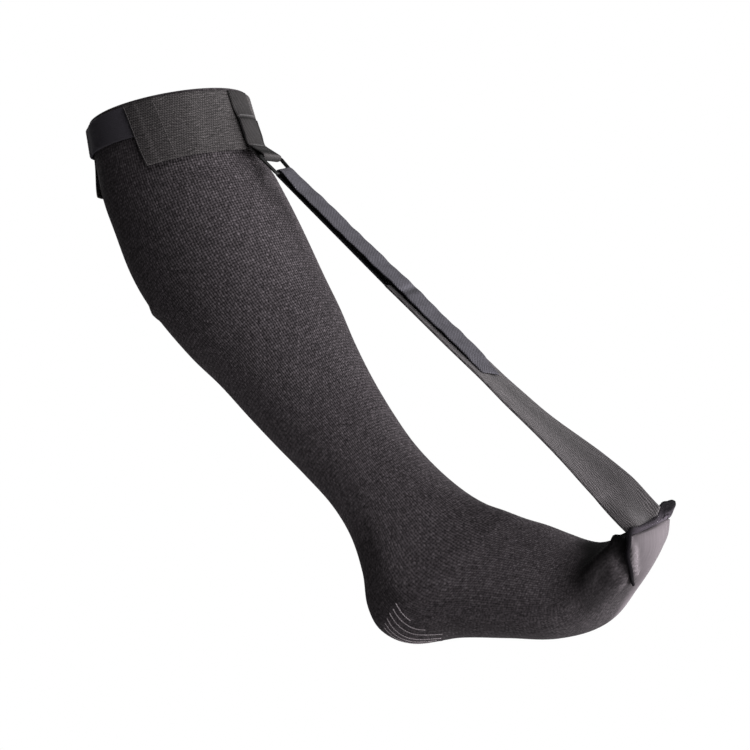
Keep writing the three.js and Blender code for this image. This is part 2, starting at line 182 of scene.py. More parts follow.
def smooth_knit(section, degrees):
    """Points on the outer face of the knit, before its folds."""
    section, degrees = np.broadcast_arrays(np.asarray(section, float), np.asarray(degrees, float))
    values = dict(zip(COLUMNS, np.moveaxis(spline(SECTIONS, section), -1, 0)))
    angle = np.radians(degrees)
    power = np.where(np.cos(angle) > 0, 1, 2 / values["square"])
    depth = np.sign(np.cos(angle)) * np.abs(np.cos(angle)) ** power
    side = -np.sign(np.sin(angle)) * np.abs(np.sin(angle)) ** power * values["half_width"]
    widest, reach = {}, {}
    for axis in "xz":
        front, back = values["front_" + axis], values["back_" + axis]
        widest[axis] = blend(back, front, values["belly"])
        reach[axis] = (np.where(depth > 0, front, back) - widest[axis]) * np.abs(depth)
    lean = np.radians(values["lean"])
    y = side * np.cos(lean) - reach["z"] * np.sin(lean)
    z = side * np.sin(lean) + reach["z"] * np.cos(lean)
    return np.stack([widest["x"] + reach["x"], y, widest["z"] + z], -1)


def knit_normal(section, degrees):
    """The outward direction of the knit."""
    low, high = np.maximum(section - 0.01, 0), np.minimum(section + 0.01, LAST)
    along = smooth_knit(high, degrees) - smooth_knit(low, degrees)
    around = smooth_knit(section, degrees + 1) - smooth_knit(section, degrees - 1)
    return unit(np.cross(around, along))


def places_between(line, count):
    """Evenly spaced sections and angles from a line's start to its end."""
    share = np.linspace(0, 1, count)
    return [blend(first, last, share) for first, last in zip(line["start"], line["end"])]


def fold_height(points):
    """How far the folds raise the knit at points of its smooth face."""
    raised = np.zeros(points.shape[:-1])
    for fold in FOLDS:
        line = smooth_knit(*places_between(fold, FOLD_STEPS))
        step = np.diff(line, axis=0)
        away = points[..., None, :] - line[:-1]
        share = np.clip((away * step).sum(-1) / (step ** 2).sum(-1), 0, 1)
        distance = np.linalg.norm(away - share[..., None] * step, axis=-1).min(-1)
        raised += fold["height"] * hump(distance, fold["width"])
    return raised


def knit_point(section, degrees, lift=0.0):
    """Points on the knit, lifted off its outer face."""
    section, degrees = np.broadcast_arrays(np.asarray(section, float), np.asarray(degrees, float))
    smooth = smooth_knit(section, degrees)
    return smooth + knit_normal(section, degrees) * (fold_height(smooth) + lift)[..., None]


# Meshes.

def new_object(name, data):
    """An object in the scene with its mesh, lamp or camera."""
    made = bpy.data.objects.new(name, data)
    bpy.context.scene.collection.objects.link(made)
    return made


def outward(points, faces):
    """Faces of a closed mesh, turned to point out of it."""
    volume = 0.0
    for kind in faces:
        for corner in range(1, kind.shape[1] - 1):
            a, b, c = points[kind[:, 0]], points[kind[:, corner]], points[kind[:, corner + 1]]
            volume += (a * np.cross(b, c)).sum()
    return faces if volume > 0 else [kind[:, ::-1] for kind in faces]


def mesh_piece(name, points, faces, corner_uv, material):
    """A closed mesh, from arrays of quads or triangles and the weave's place at each corner."""
    flat_points = points.reshape(-1, 3)
    turned = outward(flat_points, faces)
    places = corner_uv if turned is faces else [kind[:, ::-1] for kind in corner_uv]
    mesh = bpy.data.meshes.new(name)
    mesh.from_pydata((flat_points * MM).tolist(), [], [face for kind in turned for face in kind.tolist()])
    layer = mesh.uv_layers.new(name="weave")
    layer.uv.foreach_set("vector", np.concatenate([kind.ravel() for kind in places]).astype(np.float32))
    mesh.shade_smooth()
    mesh.materials.append(material)
    return new_object(name, mesh)


def grid_quads(rows, columns, start=0, wrap=False):
    """Quads of a grid of points, closed on itself across its columns or not."""
    width = columns if wrap else columns - 1
    row, column = np.meshgrid(np.arange(rows - 1), np.arange(width), indexing="ij")
    near, far = row * columns + column, row * columns + (column + 1) % columns
    return start + np.stack([near, far, far + columns, near + columns], -1).reshape(-1, 4)


def cloth_shell(name, outer, inner, along, across, material):
    """A piece of cloth between two grids of points, with the weave's place along and across it."""
    rows, columns = outer.shape[:2]
    count = rows * columns
    index = np.arange(count).reshape(rows, columns)
    quads = [grid_quads(rows, columns), grid_quads(rows, columns, count)[:, ::-1]]
    border = np.concatenate([index[0, :-1], index[:-1, -1], index[-1, :0:-1], index[:0:-1, 0]])
    following = np.roll(border, -1)
    quads.append(np.stack([following, border, border + count, following + count], -1))
    faces = np.concatenate(quads)
    place = np.stack(np.broadcast_arrays(along, across), -1).reshape(-1, 2)
    points = np.concatenate([outer.reshape(-1, 3), inner.reshape(-1, 3)])
    return mesh_piece(name, points, [faces], [np.concatenate([place, place])[faces]], material)


def closed_tube(name, rings, hubs, material, quad_uv=None):
    """A piece of rings of points, closed at either end to a hub, with the weave's place if it has one."""
    count, sides = rings.shape[:2]
    quads = grid_quads(count, sides, wrap=True)
    first = np.arange(sides)
    following = np.roll(first, -1)
    last, hub = (count - 1) * sides, count * sides
    fans = np.concatenate([
        np.stack([following, first, np.full(sides, hub)], -1),
        np.stack([first + last, following + last, np.full(sides, hub + 1)], -1),
    ])
    quad_uv = np.zeros(quads.shape + (2,)) if quad_uv is None else quad_uv
    points = np.concatenate([rings.reshape(-1, 3), hubs])
    return mesh_piece(name, points, [quads, fans], [quad_uv, np.zeros(fans.shape + (2,))], material)


def set_values(piece, name, values):
    """Gives each point of a piece a value that its material reads."""
    attribute = piece.data.attributes.new(name, "FLOAT", "POINT")
    attribute.data.foreach_set("value", np.ravel(values).astype(np.float32))


def set_tube_values(piece, name, values):
    """Gives the rings of a closed tube their values, and each hub that of its first neighbour."""
    set_values(piece, name, np.concatenate([values.ravel(), values[[0, -1], 0]]))


def rounding(distance, radius):
    """Share of its thickness that cloth has at a distance from its edge."""
    inside = np.clip(1 - distance / radius, 0, 0.9)
    return np.sqrt(1 - inside ** 2)


# Materials.

def set_input(tree, socket, value):
    """Links a result to an input, or sets the input's own value."""
    if isinstance(value, bpy.types.NodeSocket):
        tree.links.new(value, socket)
    elif value is not None:
        socket.default_value = value


def put(tree, kind, *values, named=None, **settings):
    """A new node with its settings, and its inputs given in their order or by name."""
    made = tree.nodes.new(kind)
    for name, value in settings.items():
        setattr(made, name, value)
    for socket, value in zip(made.inputs, values):
        set_input(tree, socket, value)
    for name, value in (named or {}).items():
        set_input(tree, made.inputs[name], value)
    return made


# The helpers below add their nodes to the tree that their first result is in.

def maths(operation, first, *others):
    """The result of a math node."""
    return put(first.id_data, "ShaderNodeMath", first, *others, operation=operation).outputs[0]


def product(first, *others):
    """The product of results and numbers."""
    for value in others:
        first = maths("MULTIPLY", first, value)
    return first


def mixed(share, first, second):
    """A colour between two, which are the mix node's seventh and eighth inputs."""
    inputs = (share, *[None] * 5, first, second)
    return put(share.id_data, "ShaderNodeMix", *inputs, data_type="RGBA").outputs[2]


def shade(level, tint=(1, 1, 1)):
    """An opaque colour of one brightness."""
    return tuple(level * part for part in tint) + (1,)


def tinted(level, tint):
    """A tint as bright as a result."""
    return mixed(level, shade(0.0), shade(1.0, tint))


def new_material(name, roughness, sheen=0.0, specular=0.25):
    """A material with its tree and its shader."""
    material = bpy.data.materials.new(name)
    material.use_nodes = True
    tree = material.node_tree
    shader = tree.nodes["Principled BSDF"]
    shader.inputs["Roughness"].default_value = roughness
    shader.inputs["Specular IOR Level"].default_value = specular
    shader.inputs["Sheen Weight"].default_value = sheen
    shader.inputs["Sheen Roughness"].default_value = 0.45
    return material, tree, shader


def paint(shader, colour):
    """Gives a shader its colour."""
    shader.id_data.links.new(colour, shader.inputs["Base Color"])


def joined(first, *others):
    """A place from its coordinates."""
    return put(first.id_data, "ShaderNodeCombineXYZ", first, *others).outputs[0]


def weave_place(tree):
    """The place along the cloth, across it and both, from the piece's own map."""
    parts = put(tree, "ShaderNodeSeparateXYZ", put(tree, "ShaderNodeUVMap", uv_map="weave").outputs[0])
    along, across = parts.outputs[0], parts.outputs[1]
    return along, across, joined(along, across)


def object_place(tree):
    """The place in the part's frame, in metres."""
    return put(tree, "ShaderNodeTexCoord").outputs["Object"]


def noise(place, scale, detail=2.0):
    """Soft noise from 0 to 1."""
    named = {"Vector": place, "Scale": scale, "Detail": detail}
    return put(place.id_data, "ShaderNodeTexNoise", named=named).outputs["Fac"]


def cosine(place, pitch, shift=0.0):
    """A wave from -1 to 1 with one crest each pitch."""
    return maths("COSINE", maths("MULTIPLY_ADD", place, 2 * np.pi / pitch, shift))


def wave(place, pitch, shift=0.0):
    """A wave from 0 to 1 with one crest each pitch."""
    return maths("MULTIPLY_ADD", cosine(place, pitch, shift), 0.5, 0.5)


def raise_surface(shader, height, depth):
    """Bump of so many millimetres."""
    named = {"Strength": 1.0, "Distance": depth * MM, "Height": height}
    bump = put(shader.id_data, "ShaderNodeBump", named=named)
    shader.id_data.links.new(bump.outputs["Normal"], shader.inputs["Normal"])


def value_of(tree, name):
    """The value that a piece's points carry under a name."""
    return put(tree, "ShaderNodeAttribute", attribute_name=name).outputs["Fac"]


def around_one(value, spread):
    """A value from 0 to 1 turned into a factor about 1."""
    return maths("MULTIPLY_ADD", value, 2 * spread, 1 - spread)


def patchy(place, scale, spread, detail=2.0):
    """A factor about 1 that drifts from place to place."""
    return around_one(noise(place, scale, detail), spread)


def strayed(coordinate, place, scale, stray):
    """A coordinate of the weave shifted to and fro by soft noise."""
    shift = maths("MULTIPLY_ADD", noise(place, scale), 2 * stray, -stray)
    return maths("ADD", coordinate, shift)


PAINTED_SHADING_DEPTH = 0.8


def painted_shading_factor(tree):
    """A factor from the painted shading that a piece's points carry: painted shade darkens the cloth, and
    painted highlights, below 0, lighten it.
    """
    return maths("MULTIPLY_ADD", value_of(tree, "painted_shading"), -PAINTED_SHADING_DEPTH, 1.0)


YARN_TINT = (1.0, 0.87, 0.95)
BODY_SHADE = 0.05
TOE_SHADE = 0.074
# How much the ribs of stitches, the courses and the stitches by turns stand out from the knit, and
# how much one stitch differs from the next.
RIB_CONTRAST = 0.38
COURSE_CONTRAST = 0.26
TURN_CONTRAST = 0.2
STITCH_SPREAD = 0.26
DARKEST_STITCH = 0.1
STREAK_STRETCH = 0.15
# The fuzz: how light its fibres are, how dark it is between them, and how high they stand.
FUZZ_LIGHT = 4.5
FUZZ_DARK = -1.0
FUZZ_HEIGHT = 1.5
TOE_SMOOTH = 0.9  # how much of the stitches' relief the toe front lacks


def knit_material():
    """Fine knit: uneven ribs of stitches, lighter and darker by turns, and a smooth pale toe."""
    material, tree, shader = new_material("birdseye_knit", roughness=0.95, specular=0.05)
    wale, course, place = weave_place(tree)
    spot = object_place(tree)
    wale_at = strayed(wale, place, scale=0.55, stray=0.5)
    course_at = strayed(course, place, scale=0.7, stray=0.65)
    turns = product(*[cosine(coordinate, 2.0) for coordinate in (wale_at, course_at)])
    pattern = product(cosine(wale_at, 1.0), RIB_CONTRAST)
    pattern = maths("MULTIPLY_ADD", cosine(course_at, 1.0), COURSE_CONTRAST, pattern)
    pattern = maths("MULTIPLY_ADD", turns, TURN_CONTRAST, pattern)
    pattern = product(pattern, value_of(tree, "stitch_contrast"))
    cell = joined(*[maths("ROUND", coordinate) for coordinate in (wale_at, course_at)])
    chance = put(tree, "ShaderNodeTexWhiteNoise", cell, noise_dimensions="2D").outputs["Value"]
    level = product(
        maths("MAXIMUM", maths("ADD", pattern, 1.0), DARKEST_STITCH),
        around_one(chance, STITCH_SPREAD),
        patchy(spot, scale=45.0, spread=0.08),
        patchy(spot, scale=650.0, spread=1.0),
        BODY_SHADE,
    )
    stretched = joined(wale, product(course, STREAK_STRETCH))
    streaks = patchy(stretched, scale=0.9, spread=0.28)
    fluff = value_of(tree, "fluff")
    fibres = product(fluff, noise(spot, scale=900.0, detail=3.0))
    fuzzy = maths("MULTIPLY_ADD", fluff, FUZZ_DARK, streaks)
    fuzzy = maths("MULTIPLY_ADD", fibres, FUZZ_LIGHT, fuzzy)
    pale = product(fuzzy, TOE_SHADE)
    toe = value_of(tree, "toe_front")
    shown = put(tree, "ShaderNodeMix", toe, None, level, pale, data_type="FLOAT").outputs[0]
    # The points' tone is painted light and shade, multiplied into the knit's colour.
    paint(shader, tinted(product(shown, value_of(tree, "tone")), YARN_TINT))
    relief = product(pattern, maths("MULTIPLY_ADD", toe, -TOE_SMOOTH, 1.0))
    raise_surface(shader, maths("MULTIPLY_ADD", fibres, FUZZ_HEIGHT, relief), depth=0.3)
    return material


ELASTIC_STRETCH = 0.12  # how far the streaks of elastic are stretched along it
CORD_SHARE = 0.6  # share of the relief that the cords have, and the cover threads have the rest


def elastic_material(name, level, tint, rib, pick, rib_contrast, pick_contrast, streaks, grain, sway):
    """Woven elastic: cords along the band that waver a little, and cover threads across them."""
    material, tree, shader = new_material(name, roughness=0.9, sheen=0.03, specular=0.15)
    along, across, place = weave_place(tree)
    cords = wave(strayed(across, place, scale=0.09, stray=sway), rib)
    step = product(maths("FLOOR", maths("DIVIDE", across, rib)), np.pi)
    picks = wave(along, pick, step)
    stretched = joined(product(along, ELASTIC_STRETCH), across)
    shown = product(
        around_one(cords, rib_contrast),
        painted_shading_factor(tree),
        level,
        around_one(picks, pick_contrast),
        patchy(stretched, scale=1.1, spread=streaks),
        patchy(place, scale=0.6, spread=grain, detail=3.0),
    )
    paint(shader, tinted(shown, tint))
    weave = maths("MULTIPLY_ADD", cords, CORD_SHARE, product(picks, 1 - CORD_SHARE))
    raise_surface(shader, weave, depth=0.2)
    return material


FACE_SIDE = 0.8  # how much of the face a place has to be on to show the ribs


def twill_material(name, level, tint, pitch, back, contrast):
    """Tape with a fine diagonal rib on its face, and another shade on its edges and back."""
    material, tree, shader = new_material(name, roughness=0.9, sheen=0.01, specular=0.08)
    along, across, place = weave_place(tree)
    ribs, threads = (wave(maths(slant, along, across), pitch) for slant in ("ADD", "SUBTRACT"))
    weave = maths("MULTIPLY_ADD", ribs, 0.5, product(threads, 0.5))
    shown = product(
        around_one(weave, contrast),
        painted_shading_factor(tree),
        level,
        patchy(place, scale=0.12, spread=0.3),
        patchy(place, scale=0.9, spread=0.5, detail=3.0),
    )
    face = maths("GREATER_THAN", value_of(tree, "face"), FACE_SIDE)
    paint(shader, mixed(face, shade(back, tint), tinted(shown, tint)))
    raise_surface(shader, weave, depth=0.15)
    return material


def pile_material(name, dark, light, tint, grain):
    """Short pile, such as the loops of a closing tape."""
    material, tree, shader = new_material(name, roughness=0.97, specular=0.06)
    tufts = noise(weave_place(tree)[2], scale=1 / grain, detail=3.0)
    paint(shader, mixed(tufts, shade(dark, tint), shade(light, tint)))
    raise_surface(shader, tufts, depth=0.3)
    return material


def thread_material(name, dark, light, tint):
    """Sewing thread, a little uneven in colour."""
    material, tree, shader = new_material(name, roughness=0.8, sheen=0.05, specular=0.2)
    spot = object_place(tree)
    tone = noise(spot, scale=900.0)
    paint(shader, mixed(tone, shade(dark, tint), shade(light, tint)))
    raise_surface(shader, noise(spot, scale=2500.0), depth=0.1)
    return material


OVERLOCK_DARK = shade(0.006, (1.0, 0.8, 1.1))
OVERLOCK_PALE = shade(0.085, (1.0, 0.85, 1.04))
OVERLOCK_SHARE = 0.75  # share of the thread's colour that is left between its dark specks


def overlock_material():
    """Overlock thread: lilac grey on the lip and under the ear, purple black elsewhere; its paleness
    carries painted shade along the lip's top and bottom and painted light under the ear.
    """
    material, tree, shader = new_material("overlock_thread", roughness=0.9, specular=0.04)
    spot = object_place(tree)
    base = mixed(value_of(tree, "pale"), OVERLOCK_DARK, OVERLOCK_PALE)
    share = product(patchy(spot, scale=700.0, spread=0.4), OVERLOCK_SHARE)
    paint(shader, mixed(share, shade(0.006), base))
    raise_surface(shader, noise(spot, scale=2000.0), depth=0.12)
    return material


ENAMEL_ROUGHNESS = (0.35, 0.55)


def enamel_material():
    """Black enamel on wire, with faint unevenness in its colour and its gloss."""
    smoothest, roughest = ENAMEL_ROUGHNESS
    middling = (smoothest + roughest) / 2
    material, tree, shader = new_material("black_enamel", roughness=middling, specular=0.3)
    spot = object_place(tree)
    tone = noise(spot, scale=300.0)
    paint(shader, mixed(tone, shade(0.006), shade(0.014)))
    rough = maths("MULTIPLY_ADD", tone, roughest - smoothest, smoothest)
    tree.links.new(rough, shader.inputs["Roughness"])
    raise_surface(shader, noise(spot, scale=700.0), depth=0.03)
    return material


# The knitted sock.

INSIDE_END = LAST - 0.9  # the section where the inner wall ends
HEM_ROUND = 0.5
# Sections between which the stitches' relief comes and goes.
RELIEF_COMES = (0.02, 0.06)
RELIEF_GOES = (21.5, 19.5)
# The pale front of the toe lies between two borders, given as a section and an angle.
TOE_SECTIONS = (18.7, 19.32, 19.67, 19.98, 20.36, 20.77, 21.01, 21.37, 21.79, 22.41, 23.0)
TOE_NEAR = (197, 193, 191, 188.5, 185, 181, 170, 146, 123, 104, 96)
TOE_FAR = (212, 224, 232, 238, 246, 254, 258, 262, 265, 268, 270)
# Its edges are soft, over sections at its start and degrees at its sides, and softer low down. A
# painted light runs over it from one tone to another between two shares of its width, darker by
# the near crease, and a little lighter low down.
TOE_START_SOFT = 0.5
TOE_SOFT = (21.2, 20.4)
TOE_SOFTER = 2
TOE_NEAR_EDGE = (-2, 4)
TOE_FAR_EDGE = (-2, 5)
TOE_TONES = (0.82, 1.42)
TOE_TONE_SHARES = (0.05, 0.7)
TOE_LOW = (21.3, 20.2)
TOE_LOW_LIGHT = 0.15
# A fuzzy ridge stands on it beside the near crease, as places with a half width and a height.
FLUFF = ((22.15, 131), (21.7, 144), (21.35, 157), (21.12, 169))
FLUFF_WIDTH = 2.5
FLUFF_RISE = 1.8
# The knit is drawn into shadow along the near crease and under the strap's foot.
GATHERS = ((22.6, 86), (22.1, 95), (21.75, 106), (21.5, 117))
GATHER_WIDTH = 3.2
GATHER_DARK = 0.75
# Below that it catches the light along a ridge.
RIDGE = ((21.3, 112), (21.15, 122), (20.9, 143), (20.65, 160))
RIDGE_WIDTH = 3.5
RIDGE_LIGHT = 1.5
# The toe box's painted shade: sections where it starts, sooner between some angles on top, its
# depth at angles from the front, and a lighter band on its sides.
BOX_START = (18.4, 19.9)
BOX_SOONER = 0.9
BOX_TOP = (40, 10)
BOX_ANGLES = (0, 55, 80, 110, 140, 165, 185)
BOX_TONES = (0.03, 0.05, 0.12, 0.2, 0.36, 0.8, 1.0)
BOX_BAND = ((21.35, 0.3, 0.2),)
BOX_SIDE = (40, 90)
# Painted light on the instep and painted shade on the sole and the heel: sections where each starts
# and ends, angles from the front over which it comes, and the change.
PATCHES = (
    {"start": (14.2, 15), "end": (18.6, 17.6), "side": (100, 72), "change": 0.45},
    {"start": (14.5, 15.5), "end": (LAST + 2, LAST + 1), "side": (105, 128), "change": -0.3},
    {"start": (10.5, 12), "end": (14.6, 13.8), "side": (88, 104), "change": -0.45},
)
# Painted light and shade on the calf, lighter towards the shin, and contrasts of the stitches at
# angles from the front, and the sections between which the calf ends and the foot starts.
CALF_ANGLES = (35, 70, 120)
CALF_TONES = (1.1, 0.85, 0.85)
CALF_END = (6, 4)
CONTRAST_ANGLES = (40, 75, 110)
CONTRASTS = (1.15, 0.9, 0.75)
FOOT_START = (9.5, 11.5)
FOOT_CONTRAST = 0.7


def knit_painted_shading(section, degrees):
    """Painted light and shade on the knit from place to place: darkest, as painted shadow, on top of the
    toe box.
    """
    turned = np.minimum(degrees, 360 - degrees)
    toe = smoothstep(section + BOX_SOONER * smoothstep(turned, *BOX_TOP), *BOX_START)
    box = np.interp(turned, BOX_ANGLES, BOX_TONES)
    box = box + humps(section, BOX_BAND) * smoothstep(turned, *BOX_SIDE)
    tone = blend(1, np.interp(turned, CALF_ANGLES, CALF_TONES), smoothstep(section, *CALF_END))
    tone = tone * blend(1, box, toe)
    for patch in PATCHES:
        along = smoothstep(section, *patch["start"]) * smoothstep(section, *patch["end"])
        tone = tone * (1 + patch["change"] * along * smoothstep(turned, *patch["side"]))
    return tone


def stitch_contrast(section, degrees):
    """How clear the stitches are: clearest on the shin's side of the leg, and less on the foot."""
    turned = np.minimum(degrees, 360 - degrees)
    foot = blend(1, FOOT_CONTRAST, smoothstep(section, *FOOT_START))
    return foot * np.interp(turned, CONTRAST_ANGLES, CONTRASTS)


def toe_borders(section):
    """The angles of the toe front's near and far border."""
    return np.interp(section, TOE_SECTIONS, TOE_NEAR), np.interp(section, TOE_SECTIONS, TOE_FAR)


def toe_front(section, degrees):
    """1 on the pale front of the toe, 0 off it, with a soft edge."""
    near, far = toe_borders(section)
    ahead = smoothstep(section, TOE_SECTIONS[0], TOE_SECTIONS[0] + TOE_START_SOFT)
    soft = 1 + TOE_SOFTER * smoothstep(section, *TOE_SOFT)
    inside = smoothstep((degrees - near) / soft, *TOE_NEAR_EDGE)
    return ahead * inside * smoothstep(far - degrees, *TOE_FAR_EDGE)


def toe_front_painted_light(section, degrees):
    """Painted light on the front of the toe: darker by the near crease, lighter away from it and low down.
    """
    near, far = toe_borders(section)
    low = 1 + TOE_LOW_LIGHT * smoothstep(section, *TOE_LOW)
    return low * blend(*TOE_TONES, smoothstep((degrees - near) / (far - near), *TOE_TONE_SHARES))


def beside(points, places, width):
    """1 on a line of places on the knit, fading to 0 at about twice the width from it."""
    line = knit_point(*np.array(places).T)
    fine = spline(line, np.linspace(0, len(line) - 1, 40))
    return hump(np.linalg.norm(points[..., None, :] - fine, axis=-1).min(-1), width)


def sock():
    """The knitted wall: its outer face from the toe seam to the mouth, a rounded hem, and inside."""
    fine = np.linspace(0, LAST, 40 * LAST + 1)
    length = distances(smooth_knit(fine, 90.0))
    courses = int(round(length[-1] / COURSE))
    section_of = np.interp(np.linspace(0, length[-1], courses + 1), length, fine)
    rows = [(section_of[i], i, 0.0) for i in range(courses, -1, -1)]
    rows.append((0.0, -0.3, -KNIT / 2))
    inside = [i for i in range(0, courses, INSIDE_STEP) if section_of[i] < INSIDE_END]
    rows += [(section_of[i], i, -KNIT) for i in inside]
    section, course_at, lift = (np.array(column)[:, None] for column in zip(*rows))
    wale = np.arange(WALES)
    degrees = wale * 360.0 / WALES
    spread = smoothstep(section, *RELIEF_COMES) * smoothstep(section, *RELIEF_GOES)
    relief = STITCH_RELIEF * np.where((wale + np.round(course_at)) % 2, 1, -1) * (lift == 0) * spread
    front = toe_front(*np.broadcast_arrays(section, degrees))
    bare = knit_point(section, degrees, lift)
    fluff = beside(bare, FLUFF, FLUFF_WIDTH) * front
    points = knit_point(section, degrees, lift + relief + FLUFF_RISE * fluff * (lift == 0))
    hem = courses + 1
    points[hem] += HEM_ROUND * unit(points[hem] - points[courses - 3])
    row, column = np.meshgrid(np.arange(len(rows) - 1), np.arange(WALES), indexing="ij")
    near, far = np.stack([column, row], -1), np.stack([column + 1, row], -1)
    corners = np.stack([near, far, far + (0, 1), near + (0, 1)], -2).reshape(-1, 4, 2)
    quad_uv = np.stack([corners[..., 0], course_at[corners[..., 1], 0]], -1)
    piece = closed_tube("sock_knit", points, points[[0, -1]].mean(1), knit_material(), quad_uv)
    # The tone is painted light and shade: on the knit, painted shadow along the near crease, painted light
    # on the ridge below it and on the toe front.
    tone = knit_painted_shading(section, degrees) * (1 - GATHER_DARK * beside(bare, GATHERS, GATHER_WIDTH))
    tone = tone * (1 + RIDGE_LIGHT * beside(bare, RIDGE, RIDGE_WIDTH))
    marks = {
        "toe_front": front,
        "fluff": fluff,
        "tone": blend(tone, toe_front_painted_light(section, degrees), front),
        "stitch_contrast": spread * stitch_contrast(section, degrees),
    }
    for name, values in marks.items():
        set_tube_values(piece, name, values)
    return piece


# The cuff. Angles are in degrees, and edges in sections.
CUFF_TOP = 0.08
ELASTIC_BOTTOM = 1.02
ELASTIC_BACK = -203
ELASTIC_END = (88, 80)  # at the top and the bottom of the slanted end
CLIMB_ONTO_TAPE = (32, 46)
BACK_FLARE = 3
FLARE_START = -176
SHIN_PULL = 2
PULL_SPREAD = 24
LOOP_TAPE = (172, 50)  # where the loop tape starts and ends
LOOP_TAPE_BOTTOM = (0.48, 0.58)  # its lower edge there
CLIMB_ONTO_ELASTIC = (140, 154)
ELASTIC_RIB = 2.0
EDGE_ROUNDING = 0.9
CORD_RELIEF = 0.08
# The folded hem at the free end: its height and length, and the painted shade on it, which is darker
# from some degrees before the end, mostly at the top, with a painted highlight at the very end.
HEM_RISE = 0.7
HEM_LENGTH = (11, 9)
HEM_SHADED = (22, 19)
HEM_DARK = 0.3
HEM_FADE = 0.8
END_SHINES = (1.6, 0.6)
END_LIGHT = 0.5
# Rows of stitches on it: degrees before the end, and height over the elastic.
CUFF_ROWS = ((1.2, 0.75), (21.0, 0.1))
# Unevenness of the pile: its height, and waves along the tape, across it and aslant.
PILE_RELIEF = 0.06
PILE_WAVES = (1.9, 2.3, 0.7)


def band_grid(rows, columns):
    """Shares of a band's length and width at each point of a grid on it."""
    return np.meshgrid(np.linspace(0, 1, rows), np.linspace(0, 1, columns), indexing="ij")


def band_on_knit(name, section, degrees, lift, thickness, relief, material):
    """A band that lies on the knit, from grids of places along and across it."""
    middle = knit_point(section, degrees, lift)
    along = lengthwise(middle)
    across = np.stack([distances(line) for line in middle])
    edge = np.minimum.reduce([across, across[:, -1:] - across, along, along[-1] - along])
    full = rounding(edge, EDGE_ROUNDING) * thickness / 2
    ridges = relief(along, across, edge)
    outer = knit_point(section, degrees, lift + thickness / 2 + full + ridges)
    inner = knit_point(section, degrees, lift + thickness / 2 - full)
    return cloth_shell(name, outer, inner, along, across, material)


def cuff_elastic():
    """Ribbed elastic round the cuff, with a folded and slanted free end."""
    along, across = band_grid(260, 84)
    end = blend(*ELASTIC_END, across)
    degrees = blend(ELASTIC_BACK, end, along)
    section = blend(CUFF_TOP, ELASTIC_BOTTOM, across)
    over_tape = smoothstep(degrees, *CLIMB_ONTO_TAPE) * (TAPE + GAP)
    below_tape = smoothstep(section, LOOP_TAPE_BOTTOM[0], ELASTIC_BOTTOM)
    flare = smoothstep(degrees, FLARE_START, ELASTIC_BACK) * below_tape * BACK_FLARE
    pull = hump(degrees, PULL_SPREAD) * across * SHIN_PULL
    lift = GAP + over_tape + flare + pull

    def ribs(along_band, across_band, edge):
        cords = CORD_RELIEF * np.cos(2 * np.pi * across_band / ELASTIC_RIB)
        hem = HEM_RISE * smoothstep(along_band[-1] - along_band, *HEM_LENGTH)
        return cords * smoothstep(edge, 0.5, 2) + hem * smoothstep(edge, 0, 1.2)

    material = elastic_material(
        "cuff_elastic_weave",
        level=0.044,
        tint=(1, 0.9, 0.92),
        rib=1.8,
        pick=1.7,
        rib_contrast=0.35,
        pick_contrast=0.4,
        streaks=0.8,
        grain=0.95,
        sway=3.5,
    )
    piece = band_on_knit("cuff_elastic_band", section, degrees, lift, ELASTIC, ribs, material)
    to_end = end - degrees
    # Painted shade over the folded hem, and a painted highlight at the very end.
    shaded = HEM_DARK * (1 - HEM_FADE * across) * smoothstep(to_end, *HEM_SHADED)
    shaded = shaded - END_LIGHT * smoothstep(to_end, *END_SHINES)
    set_values(piece, "painted_shading", np.stack([shaded, shaded]))
    return piece


def cuff_loop_tape():
    """Matt loop tape, sewn over the back end of the elastic and lying under its free end."""
    along, across = band_grid(100, 24)
    degrees = blend(*LOOP_TAPE, along)
    section = blend(CUFF_TOP, blend(*LOOP_TAPE_BOTTOM, along), across)
    lift = GAP + smoothstep(degrees, *CLIMB_ONTO_ELASTIC) * (ELASTIC + GAP)

    def pile(along_band, across_band, edge):
        lengthways, crossways, aslant = PILE_WAVES
        uneven = np.sin(along_band * lengthways) * np.sin(across_band * crossways + along_band * aslant)
        return PILE_RELIEF * uneven * smoothstep(edge, 1, 3)

    material = pile_material("loop_pile", dark=0.025, light=0.08, tint=(1, 0.92, 1.1), grain=0.7)
    return band_on_knit("cuff_loop_tape_band", section, degrees, lift, TAPE, pile, material)


# The strap's straight run, from the toe seam to the ring's lower bar.
RING_LOW = sagittal(100, -48.5)
PULL = unit(sagittal(0.75, -0.66))
RING_FACE = np.cross(PULL, ACROSS)
RING_HIGH = RING_LOW - RING_PITCH * PULL
RING_RISE = 3.8
RUN_HEAD = RING_LOW - RING_RISE * RING_FACE
STRAP_FOOT = sagittal(373.2, -284.3)
STRAP_ALONG = unit(RUN_HEAD - STRAP_FOOT)
STRAP_UP = np.cross(ACROSS, STRAP_ALONG)
STRAP_RUN = np.linalg.norm(RUN_HEAD - STRAP_FOOT)
BOW_HEIGHT = 2.7
BOW_FULL = 32
BOW_FALL = (120, 50)
JOINT_START = 221
JOINT_END = 241
TAIL_END = 142
TAPER_START = 165
# The elastic's turn about its run comes level in two steps: degrees, and from where to where.
TWISTS = ((27, 118, 0), (3.5, 148, 110))
FOOT_REACH = 26  # distance over which the elastic bends to its end line
FOOT_NEAR = np.array((373.7, -24.0, -292.0))
FOOT_FAR = np.array((379.2, 17.5, -277.2))
SEWN_SHARES = (0.24, 0.42, 0.6)  # of the toe seam, where the elastic is sewn in
STRAP_CORDS = 0.06
